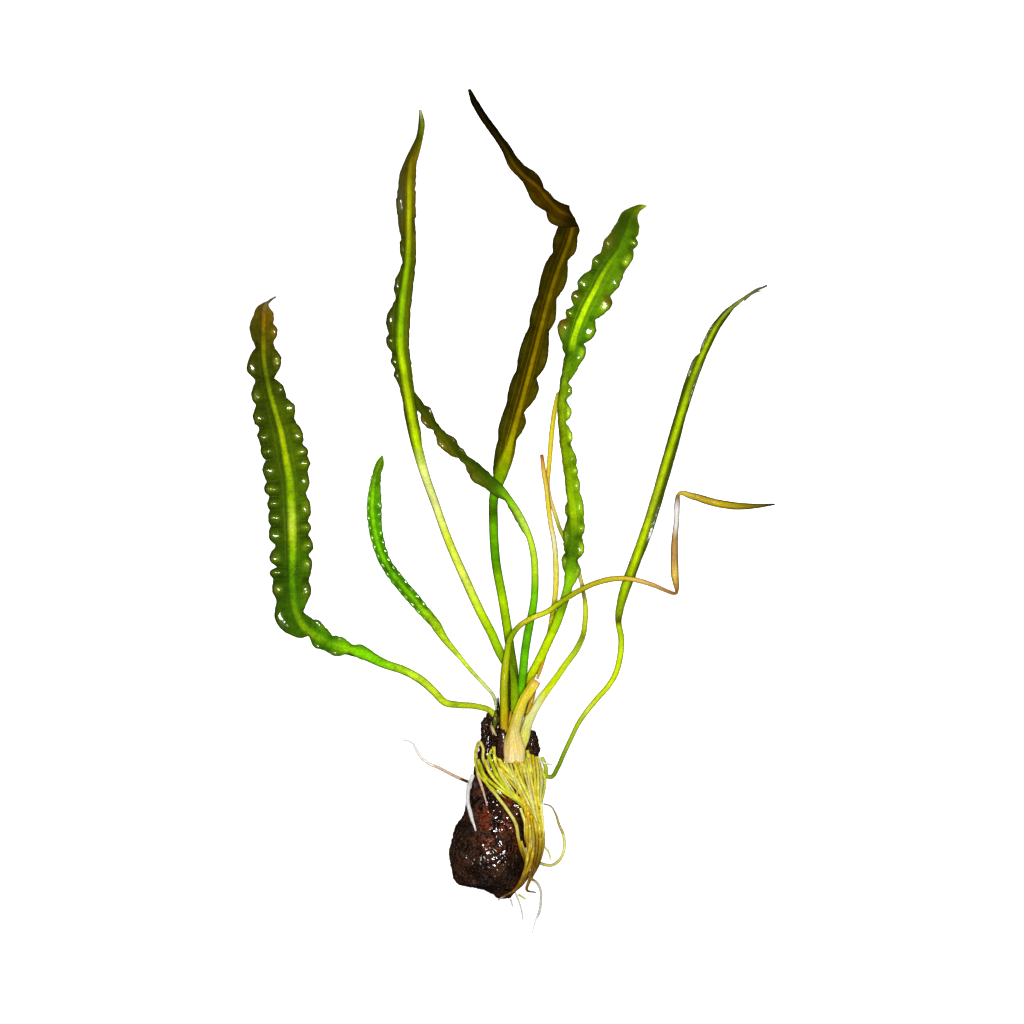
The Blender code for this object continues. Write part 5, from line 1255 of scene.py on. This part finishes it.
STEM_YELLOW = [
    (15.8, 57.4, 12.8, 0.5), (16.8, 60.4, 9.6, 0.65), (17.6, 63, 6.2, 0.7), (18.2, 65.4, 3.8, 0.75),
    (18.8, 67.8, 2.5, 0.85), (19.4, 70.4, 2.1, 0.9), (20.1, 74, 1.8, 0.9), (21.1, 80.4, 1.4, 0.9),
    (21.9, 87.6, 1.2, 0.95), (21.9, 95.9, 1.2, 0.95), (21.3, 103, 1.4, 0.9), (20.2, 108.8, 2, 0.85),
    (19.4, 114.7, 2.9, 0.85), (18.8, 120.4, 3, 0.8), (17.8, 126.8, 1.7, 0.8), (17.2, 131.8, 0.9, 0.6),
]
dress_stalk(
    "stem_yellow_stalk", "stem_yellow", "stalk_straw", STEM_YELLOW,
    stalk_material(
        "stalk straw yellow",
        [(0, 255, 200, 70), (0.12, 250, 204, 50), (0.25, 216, 220, 40), (0.34, 226, 222, 40),
         (0.43, 255, 236, 76), (0.54, 255, 248, 90), (0.63, 255, 250, 190), (0.7, 255, 240, 120),
         (0.78, 255, 230, 44), (0.85, 255, 228, 84), (0.935, 250, 206, 80), (0.985, 206, 130, 60),
         (1, 150, 84, 40)],
        [(0, 236, 170, 50), (0.5, 206, 166, 20), (1, 190, 110, 40)],
        (180, 110, 30), 0.4,
    ),
)
LEAF_YELLOWED = [
    (9.9, 33.6, 13.2, 1.6), (11.3, 37.6, 13, 1.8), (12.2, 41.4, 11.4, 1.75), (13.3, 44.3, 10.1, 1.7),
    (15.9, 48.8, 8.6, 1.4), (18.9, 53.2, 6.9, 1.25), (22, 57.4, 5.1, 1.15), (25.3, 62.1, 3.4, 1.1),
    (28.6, 66.6, 2.1, 1.1), (30.9, 71.4, 1.3, 1), (31.7, 76.6, 1, 0.9), (31.8, 81.2, 0.9, 0.85),
    (31.2, 85.4, 0.8, 0.7), (29.9, 91.4, 0.8, 0.7), (28.5, 95.9, 0.8, 0.7), (25.7, 101.7, 0.8, 0.7),
    (23.1, 107.5, 0.8, 0.7), (21.5, 112.6, 0.8, 0.7), (19.8, 118, 0.8, 0.7), (19.2, 121.8, 0.8, 0.75),
    (19.6, 127.5, 0.8, 0.8), (20.1, 134, 0.8, 0.85), (20.8, 141.5, 0.8, 0.85), (21.9, 149, 0.7, 0.7),
    (22.5, 152.6, 0.6, 0.4),
]
dress_stalk(
    "leaf_yellowed_stalk", "leaf_yellowed", "stalk_sallow", LEAF_YELLOWED,
    stalk_material(
        "stalk sallow green",
        [(0, 255, 222, 110), (0.03, 240, 240, 90), (0.075, 255, 255, 150), (0.125, 255, 255, 170),
         (0.16, 244, 250, 80), (0.175, 240, 255, 20), (0.217, 226, 252, 10), (0.264, 220, 244, 26),
         (0.308, 186, 220, 44), (0.35, 134, 150, 28), (0.372, 200, 214, 24), (0.428, 228, 246, 32),
         (0.455, 136, 138, 48), (0.475, 166, 168, 50), (0.509, 244, 240, 112), (0.57, 230, 226, 80),
         (0.646, 166, 178, 30), (0.688, 252, 230, 112), (0.732, 248, 238, 148), (0.762, 230, 198, 36),
         (0.819, 254, 228, 34), (0.893, 246, 226, 40), (0.953, 228, 214, 32), (1, 190, 184, 50)],
        [(0, 240, 240, 120), (0.1, 250, 250, 160), (0.2, 210, 240, 60), (0.4, 150, 180, 30),
         (0.7, 200, 150, 20), (1, 190, 150, 20)],
        (190, 150, 30), 0.35,
    ),
)

# Tip threads: the dried ends of two leaves, frayed into thin grey strands that
# grow on from the tips of their blades.
TIP_THREADS = (
    ("leaf_left_ruffled_thread", "leaf_dark",
     [(-75.4, 180.2, 0.7, 0.4), (-74.6, 181.4, 0.7, 0.35), (-73.2, 182.9, 0.6, 0.25),
      (-71.7, 184.2, 0.5, 0.16)]),
    ("leaf_long_right_thread", "leaf_long",
     [(84.4, 183.6, 0.8, 0.45), (86.6, 185.4, 0.8, 0.4), (88.8, 187, 0.8, 0.25), (92.2, 188, 0.8, 0.16)]),
    ("leaf_long_right_short_thread", "leaf_long",
     [(84.6, 183.2, 0.8, 0.4), (86.8, 185, 0.8, 0.35), (88.8, 186, 0.8, 0.22), (90.8, 186.4, 0.8, 0.14)]),
)
thread_skin = stalk_material(
    "dried thread",
    [(0, 120, 120, 60), (0.4, 130, 126, 84), (1, 120, 110, 92)],
    [(0, 80, 76, 30), (1, 96, 88, 66)],
)
for name, slot, route in TIP_THREADS:
    dress_stalk(name, None, slot, route, thread_skin, rib=0.02, swelling=0.1, step=0.3)

# Roots: a bundle of soft strands that springs from under the crown, drapes over
# the tuber and trails away at its foot. Young ones are white, older ones
# yellow, and the lowest have browned.
ROOTS = [
    ("pale_left", "white", 0.72, [(-5.6, 25.2), (-7, 21.4), (-7.4, 16.8), (-6.4, 12.2), (-4.6, 6.6)]),
    ("side_left", "side", 0.6, [(-7.6, 23), (-12.6, 25.2), (-17, 27.4), (-21, 29.2), (-23.8, 32),
     (-26, 35.8), (-29.6, 37)]),
    ("cream_a", "cream", 0.4, [(3.4, 26.8), (6.4, 22), (8.6, 18.8)], (1.8, 29.4)),
    ("cream_b", "cream", 0.5, [(5.6, 28.2), (7.2, 24.6), (8.8, 20.6), (9.2, 18)], (4.8, 31)),
    ("yellow_inner", "golden", 0.55, [(9.8, 28), (11, 23.6), (12.4, 20.4)], (9.4, 31.2)),
    ("pink", "peach", 0.5, [(12.6, 27), (13.1, 22.8), (13.7, 19.4)], (12.2, 30.6)),
    ("right_a", "cream", 0.6, [(14.4, 27.2), (15.6, 22.6), (16.4, 17.6)], (13.8, 30.6)),
    ("right_b", "bright yellow", 0.65, [(15.6, 31.6), (16.9, 27.4), (18.2, 23.6), (17.8, 19.4),
     (16.8, 15.4), (17.5, 10), (17.9, 4.2)], (14.6, 34.6)),
    ("brown_a", "brown", 0.6, [(15.2, 12.4), (16.2, 6.6), (16.9, 1.4), (16.1, -3.4), (14, -8)]),
    ("hairpin", "peach", 0.72, [(1.2, 24.8), (-0.8, 27.4), (-2.2, 30.2), (-2.4, 34.4), (-3.4, 36.2),
     (-4.4, 33.4), (-4.6, 29.4), (-4, 25.4), (-2.6, 21), (-0.8, 14.6)]),
    ("long_under", "fading", 0.75, [(-3.2, 27.4), (-1, 22.4), (2.4, 18.2), (6, 13.4), (8.6, 9),
     (9.4, 4.4), (10.4, 0.4), (12, -4), (12, -9), (9, -12.8), (4.8, -15), (2.4, -16.6)], (-4, 30.4)),
    ("front_a", "bright yellow", 0.72, [(2.4, 31.6), (4.6, 28), (7.8, 24.6), (11, 20), (13.8, 14.6),
     (16.4, 9.6), (17.4, 4.8)], (1.2, 34.4)),
    ("front_b", "lime", 0.72, [(0.4, 29.4), (2.2, 25.4), (5.6, 21), (9.6, 17.4), (13, 13.6), (15.6, 9.6),
     (17, 3.4), (16.4, -2.2)], (-0.6, 32)),
    ("loop", "loop", 0.62, [(10.2, 14.2), (11.6, 9.6), (12, 4.2), (13.2, 0.2), (15.4, -3.2), (18.4, -4.9),
     (21, -4.9), (23.4, -3), (24.8, 1.2), (24.4, 5.2), (22.9, 8.8), (21.8, 12.4), (20.2, 14.8),
     (17.8, 15.6)]),
    ("mid_a", "bright yellow", 0.72, [(8.8, 28.2), (9.6, 24.8), (11.8, 20.8), (13.8, 16.6), (15.8, 12.2),
     (17.4, 7.6), (17.8, 3), (17, -2.6)], (8.4, 31.6)),
    ("mid_b", "bright yellow", 0.68, [(10.8, 29), (12.8, 25.2), (14.4, 20.8), (15.6, 16.6), (16.6, 12.2),
     (17.6, 7.4)], (10.4, 32.4)),
    ("mid_c", "bright yellow", 0.68, [(13.2, 30), (14.4, 26.2), (15.4, 21.8), (15.8, 17.6),
     (16.6, 13.4)], (12.4, 33.4)),
    ("tail_a", "brown", 0.62, [(17.8, 2.6), (16.9, -1.4), (15.8, -5.2), (14.2, -8), (12.8, -10.8),
     (12.2, -13), (15.6, -14)]),
    ("tail_white", "white tail", 0.5, [(12.8, -6.8), (13.6, -9), (15.6, -10.6), (16.8, -12.8),
     (17, -16.4), (16.6, -20), (15, -24.2), (14, -28)]),
    ("hair_a", "white", 0.35, [(8.6, -14.2), (10, -18), (10.8, -21.6), (11.2, -25.2)]),
    ("hair_b", "white", 0.35, [(6.8, -16.2), (7.8, -19.2)]),
    ("hair_c", "cream", 0.4, [(9.6, -14.6), (12.2, -16.2)]),
    ("hair_d", "cream", 0.35, [(18, 1.6), (19.6, -0.6), (20.2, -3.6)]),
    ("hair_right", "white", 0.35, [(12.8, 32.2), (15.8, 30.2), (18.8, 28.9), (21.4, 28.4)]),
]
FAN_ROOTS = [
    (0.5, "lime", [(-3.4, 29), (-2.1, 25.5), (-0.1, 23.2), (2.6, 20.9), (6, 18.7), (9.5, 16.3),
     (11.6, 14.2), (13.6, 11.8), (15.4, 8.8), (16.8, 5.4)]),
    (0.46, "bright yellow", [(-1.6, 30), (-0.4, 26.6), (1.4, 24), (4.4, 20.9), (8, 18), (11.2, 15.4),
     (13.9, 12.4), (15.9, 9), (17.2, 4.6)]),
    (0.5, "bright yellow", [(1.4, 34.2), (1.6, 30.6), (2.9, 27.4), (5.7, 25.2), (8.3, 23), (10.3, 20.4),
     (12.4, 17), (14.7, 12.6), (16.6, 8), (17.6, 3.4)]),
    (0.4, "cream", [(2.4, 28.8), (3.4, 25.6), (5.2, 22.6), (7.2, 19.8)]),
    (0.42, "cream", [(5, 30.6), (6.2, 27.6), (8, 24), (10, 20), (11.8, 16.6)]),
    (0.5, "golden", [(8.4, 31.4), (8.6, 28), (8.8, 24.6), (9.6, 21.4), (10.6, 17.8), (11.8, 13.7),
     (12.2, 9.8), (12.3, 4.6), (12.6, -0.6), (13.2, -4.6)]),
    (0.46, "bright yellow", [(9.6, 31), (10.8, 27.2), (12.2, 23.6), (13.2, 20), (14.6, 15.4),
     (16.2, 10.4), (17.4, 5.2)]),
    (0.44, "peach", [(11.4, 31.6), (12, 28.4), (12.9, 24.2), (13.6, 19.8), (14.8, 15), (16.2, 10.8)]),
    (0.46, "cream", [(13.2, 31.8), (13.5, 28), (13.9, 23.6), (14.4, 19.2), (15.4, 14.4), (16.6, 9.4),
     (17.4, 4)]),
    (0.46, "golden", [(14.2, 31.6), (14.7, 27.8), (15, 23.6), (15.2, 19.4), (15.9, 14.8), (16.9, 9.8),
     (17.8, 5)]),
    (0.44, "bright yellow", [(15.2, 31), (15.8, 27.4), (16.1, 23.2), (16, 19), (16.5, 14.4), (17.4, 9),
     (18, 4)]),
    (0.42, "cream", [(16, 30.2), (16.8, 26.6), (17, 22.6), (16.8, 18.4), (17.1, 13.8), (17.7, 8.6),
     (18.1, 3)]),
    (0.5, "brown", [(17.6, 4.4), (17.4, 0.6), (16.6, -3), (14.9, -6.1), (12.9, -8.3)]),
    (0.46, "golden", [(15.4, 8), (15.6, 3.6), (15, 0), (14, -3.4), (12.9, -6.4), (11, -9)]),
    (0.44, "brown", [(10.4, 3), (11.8, -1), (12.6, -5), (11.6, -9), (9, -12.6), (5.6, -14.6),
     (3.6, -15.4)]),
    (0.42, "cream", [(6.6, 30.4), (7.4, 27), (9.2, 23), (11.4, 18.6), (13.4, 14.2), (15.2, 9.6),
     (16.6, 4.6)]),
    (0.44, "bright yellow", [(7.6, 30.8), (9, 26.6), (11, 22), (13.2, 17.2), (15, 12.4), (16.6, 7),
     (17.3, 1.8)]),
    (0.4, "cream", [(10.2, 30.8), (11.6, 26), (12.8, 21.4), (13.8, 17), (15, 12.2), (16.4, 6.4)]),
    (0.42, "bright yellow", [(12.4, 31.4), (13.2, 26.4), (14.2, 21.6), (15.2, 16.4), (16.4, 11),
     (17.4, 5.4), (17.2, 0)]),
    (0.4, "golden", [(3.2, 29.4), (4.6, 26.2), (7, 22.8), (9.8, 19.4), (12.2, 15.6), (14.4, 11.2),
     (16.2, 6.4)]),
    (0.55, "golden", [(12.6, 13.4), (13.2, 8), (13.2, 2.4), (12.8, -2), (11.4, -6.4)]),
    (0.55, "golden", [(13.6, 12), (14.4, 7), (14.6, 2), (13.8, -2.8), (12.2, -7), (10.2, -10.6)]),
    (0.55, "brown", [(14.8, 10.4), (15.6, 5.4), (15.6, 0.4), (14.8, -4.2), (13.2, -8.2), (11.4, -10.8)]),
    (0.55, "brown", [(16.2, 9), (16.8, 4), (16.4, -1.4), (15.2, -5.6), (13.6, -9.4)]),
    (0.34, "lime", [(-4.2, 35.8), (-5, 32), (-4.6, 28.2), (-3.2, 24.8), (-0.9, 22.2), (2.2, 19.8),
     (5.4, 17.4)]),
    (0.55, "brown", [(12.6, -0.6), (12, -5), (10.9, -8.6), (9, -12), (6.6, -14.2)]),
    (0.34, "peach", [(0.6, 33.8), (-0.4, 31.4), (-0.6, 28.6), (0.6, 26.2)]),
]
TOUCH_GAP = 0.35
STEEPEST = 0.9
ABOVE_ALL = 40.0
ROUTE_STEP = 0.5
TUBER_BERTH = 1.15


def lay_root(route, radius, surface, laid, packing=1.06, gap=TOUCH_GAP):
    """Heights along a route that rests on the tuber, the floor and laid roots."""
    stations = [(x, y, 0.0) for x, y in route]
    along = np.arange(0.0, curve_length(stations), ROUTE_STEP)
    plan = read_curve(stations, along)[:, :2]
    heights = np.full(len(plan), radius)
    for i, (x, y) in enumerate(plan):
        for dx, dy in ((0, 0), (radius, 0), (-radius, 0), (0, radius), (0, -radius)):
            start = Vector((x + dx, y + dy, ABOVE_ALL)) * MM
            hit = surface.ray_cast(start, Vector((0, 0, -1)))[0]
            if hit:
                heights[i] = max(heights[i], hit.z / MM + TUBER_BERTH * radius + gap)
        for other, other_radius in laid:
            rest = packing * (radius + other_radius) + gap
            apart = np.hypot(other[:, 0] - x, other[:, 1] - y)
            near = apart < rest
            if near.any():
                rise = other[near, 2] + np.sqrt(rest**2 - apart[near] ** 2)
                heights[i] = max(heights[i], rise.max())
    away = np.abs(along[:, None] - along[None, :])
    heights = (heights[None, :] - STEEPEST * away).max(axis=1)
    line = np.column_stack([plan, heights])
    laid.append((line.copy(), radius))
    return line


def strand_tree():
    """A root from its centre line: an uneven tube that thins towards its tip."""
    tree, given, result = start_group(
        "root strand", "GeometryNodeTree",
        [("Line", SHAPE), ("Radius", FLOAT, 0.7 * MM), ("Tip", FLOAT, 0.45), ("Unevenness", FLOAT, 0.25),
         ("Wander", FLOAT, 0.2 * MM), ("Step", FLOAT, 0.4 * MM), ("Seed", FLOAT, 0.0), ("Skin", SKIN)],
        [("Strand", SHAPE)],
    )
    line = put(tree, "GeometryNodeMeshToCurve", {"Mesh": given["Line"]}).outputs[0]
    line = put(tree, "GeometryNodeResampleCurve", {"Curve": line, "Length": given["Step"]},
               mode="LENGTH").outputs[0]
    place = put(tree, "GeometryNodeInputPosition").outputs[0]
    drift, lumps = (
        put(tree, "ShaderNodeTexNoise", {"Vector": place, "W": given["Seed"], "Scale": scale,
                                         "Detail": detail}, noise_dimensions="4D").outputs
        for scale, detail in ((330.0, 1.0), (700.0, 2.0))
    )
    shift = put(tree, "ShaderNodeVectorMath", {0: drift["Color"], 1: (0.5, 0.5, 0.5)},
                operation="SUBTRACT").outputs[0]
    shift = put(tree, "ShaderNodeVectorMath", {0: shift, "Scale": given["Wander"]},
                operation="SCALE").outputs[0]
    line = put(tree, "GeometryNodeSetPosition", {"Geometry": line, "Offset": shift}).outputs[0]
    spline = put(tree, "GeometryNodeSplineParameter").outputs
    uneven = times(tree, minus(tree, lumps["Fac"], 0.5), given["Unevenness"])
    shrink = times(tree, lift(tree, spline["Factor"], 0.7, 1.0), minus(tree, 1.0, given["Tip"]))
    radius = times(tree, plus(tree, minus(tree, 1.0, shrink), uneven), given["Radius"])
    mark = put(tree, "ShaderNodeCombineXYZ", {0: spline["Factor"]}).outputs[0]
    line = put(tree, "GeometryNodeStoreNamedAttribute",
               {"Geometry": line, "Name": "strand_place", "Value": mark},
               data_type="FLOAT_VECTOR", domain="POINT").outputs[0]
    ring = put(tree, "GeometryNodeCurvePrimitiveCircle", {"Resolution": 12, "Radius": 1.0}).outputs[0]
    tube = put(tree, "GeometryNodeCurveToMesh", {"Curve": line, "Profile Curve": ring, "Scale": radius,
                                                 "Fill Caps": True}).outputs[0]
    return end_shape(tree, tube, given["Skin"], result)


root_strand = strand_tree()


def root_material(name, stops, under, speck=(150, 110, 40), specks=0.35, gloss=0.35):
    """Root skin: a colour run along its top, and a second, mostly darker colour where it turns down, as
    painted shade.
    """
    def build(tree):
        share = see_mark(tree, "strand_place")[0]
        place = own_place(tree)
        slow = speckle(tree, 4.0, 2.0, 0.5, place)
        moved = plus(tree, share, times(tree, minus(tree, slow, 0.5), 0.25))
        # Painted shade: the under colour takes over where the strand turns away from above.
        upward = lift(tree, facing_up(tree), 0.15, 0.75)
        colour = blend(tree, upward, tint(*under), ramp(tree, moved, stops))
        fine = speckle(tree, 0.7, 3.0, 0.6, place)
        colour = shade(tree, colour, lift(tree, fine, 0.3, 0.7, 0.82, 1.12))
        dots = lift(tree, speckle(tree, 1.6, 3.0, 0.65, place), 0.58, 0.72, 0.0, specks)
        colour = blend(tree, dots, colour, tint(*speck))
        rough = lift(tree, fine, 0.3, 0.7, 0.35, 0.55)
        return colour, rough, wet_coat(tree, 3, 0.2, gloss), fine, 0.2 * MM

    return finish_material(name, build, 0.12)


# Each look is a colour run, the painted shade colour for where the strand turns down, and for some a speck
# colour and share.
ROOT_LOOKS = {
    "bright yellow": ([(0, 226, 214, 60), (0.12, 254, 248, 78), (0.4, 255, 255, 104), (0.7, 244, 230, 46),
        (1, 164, 140, 22)], (216, 204, 26)),
    "lime": ([(0, 180, 190, 30), (0.15, 214, 220, 40), (0.5, 238, 240, 50),
        (1, 200, 186, 26)], (164, 170, 12)),
    "golden": ([(0, 254, 208, 34), (0.3, 255, 230, 80), (0.6, 236, 198, 46),
        (1, 150, 110, 28)], (190, 150, 22)),
    "cream": ([(0, 236, 216, 80), (0.2, 255, 248, 116), (0.6, 255, 252, 150),
        (1, 248, 240, 140)], (216, 198, 54)),
    "peach": ([(0, 214, 210, 60), (0.3, 236, 226, 110), (0.5, 250, 214, 140), (0.75, 244, 196, 160),
        (1, 236, 200, 190)], (196, 150, 84)),
    "white tail": ([(0, 120, 90, 40), (0.16, 150, 120, 60), (0.26, 240, 234, 214),
        (1, 255, 255, 250)], (214, 206, 190), (220, 212, 196), 0.25),
    "white": ([(0, 240, 238, 226), (0.4, 255, 255, 252),
        (1, 255, 255, 250)], (250, 250, 244), (220, 212, 196), 0.25),
    "brown": ([(0, 236, 210, 60), (0.35, 190, 156, 44), (0.7, 140, 104, 34),
        (1, 130, 90, 36)], (104, 70, 20), (90, 60, 24), 0.5),
    "fading": ([(0, 190, 190, 40), (0.2, 234, 228, 100), (0.4, 240, 226, 120), (0.5, 190, 158, 40),
        (0.62, 112, 80, 38), (0.92, 88, 62, 36), (1, 240, 234, 214)], (150, 126, 30)),
    "side": ([(0, 50, 44, 14), (0.06, 120, 100, 50), (0.12, 240, 208, 164), (0.5, 255, 226, 190),
        (0.62, 255, 248, 234), (0.85, 255, 252, 244), (1, 230, 230, 226)], (250, 222, 190)),
    "loop": ([(0, 250, 240, 130), (0.3, 240, 214, 60), (0.5, 244, 234, 130), (0.7, 240, 234, 120),
        (0.85, 206, 184, 110), (1, 160, 140, 90)], (170, 140, 40)),
}
ROOT_SKINS = {name: root_material(f"root {name}", *looks) for name, looks in ROOT_LOOKS.items()}
MOST_SHARE, SHARES = 0.93, {"long_under": 0.8, "hairpin": 0.74, "loop": 0.85}
FAN_SHARE = 1.15
TOP_SINK = 0.6
HIGHEST = 20.6
LEAF_STALK_RADIUS = 0.72
slots = {row["node"]: row["material_slot"] for row in frame["record"]["subparts"]}
tuber_surface = BVHTree.FromPolygons(
    [v.co for v in tuber_node.data.vertices], [p.vertices[:] for p in tuber_node.data.polygons]
)


def add_strand(name, line, radius, skin, seed, tip=0.45, wander=0.25):
    """A root's mesh from its centre line."""
    data = bpy.data.meshes.new(name)
    data.from_pydata((line * MM).tolist(), [(i, i + 1) for i in range(len(line) - 1)], [])
    strand = add_object(name, data)
    use_tree(strand, root_strand, {"Radius": radius * MM, "Tip": tip, "Wander": wander * MM,
                                   "Seed": float(seed), "Skin": ROOT_SKINS[skin]})
    return strand


under = LONG_RIGHT[:5]
under_route = read_curve(under, np.arange(0.0, curve_length(under), ROUTE_STEP))[:, :3]
laid = [(under_route, LEAF_STALK_RADIUS)]
for i, (name, skin, radius, route, *top) in enumerate(ROOTS):
    line = lay_root(route, radius, tuber_surface, laid)
    if top:
        line = np.vstack([[*top[0], line[0, 2] - TOP_SINK], line])
    strand = add_strand(f"strand_{name}", line, SHARES.get(name, MOST_SHARE) * radius, skin, i)
    seat(strand, slots[f"root_{name}"], f"root_{name}")
for i, (radius, skin, route) in enumerate(FAN_ROOTS):
    line = lay_root(route, radius, tuber_surface, laid, packing=0.62, gap=0.0)
    line[:, 2] = np.minimum(line[:, 2], HIGHEST)
    strand = add_strand(f"strand_fan_{i + 1}", line, FAN_SHARE * radius, skin, 40 + i, 0.3)
    seat(strand, "root_pale" if skin in ("cream", "peach") else "root_yellow")
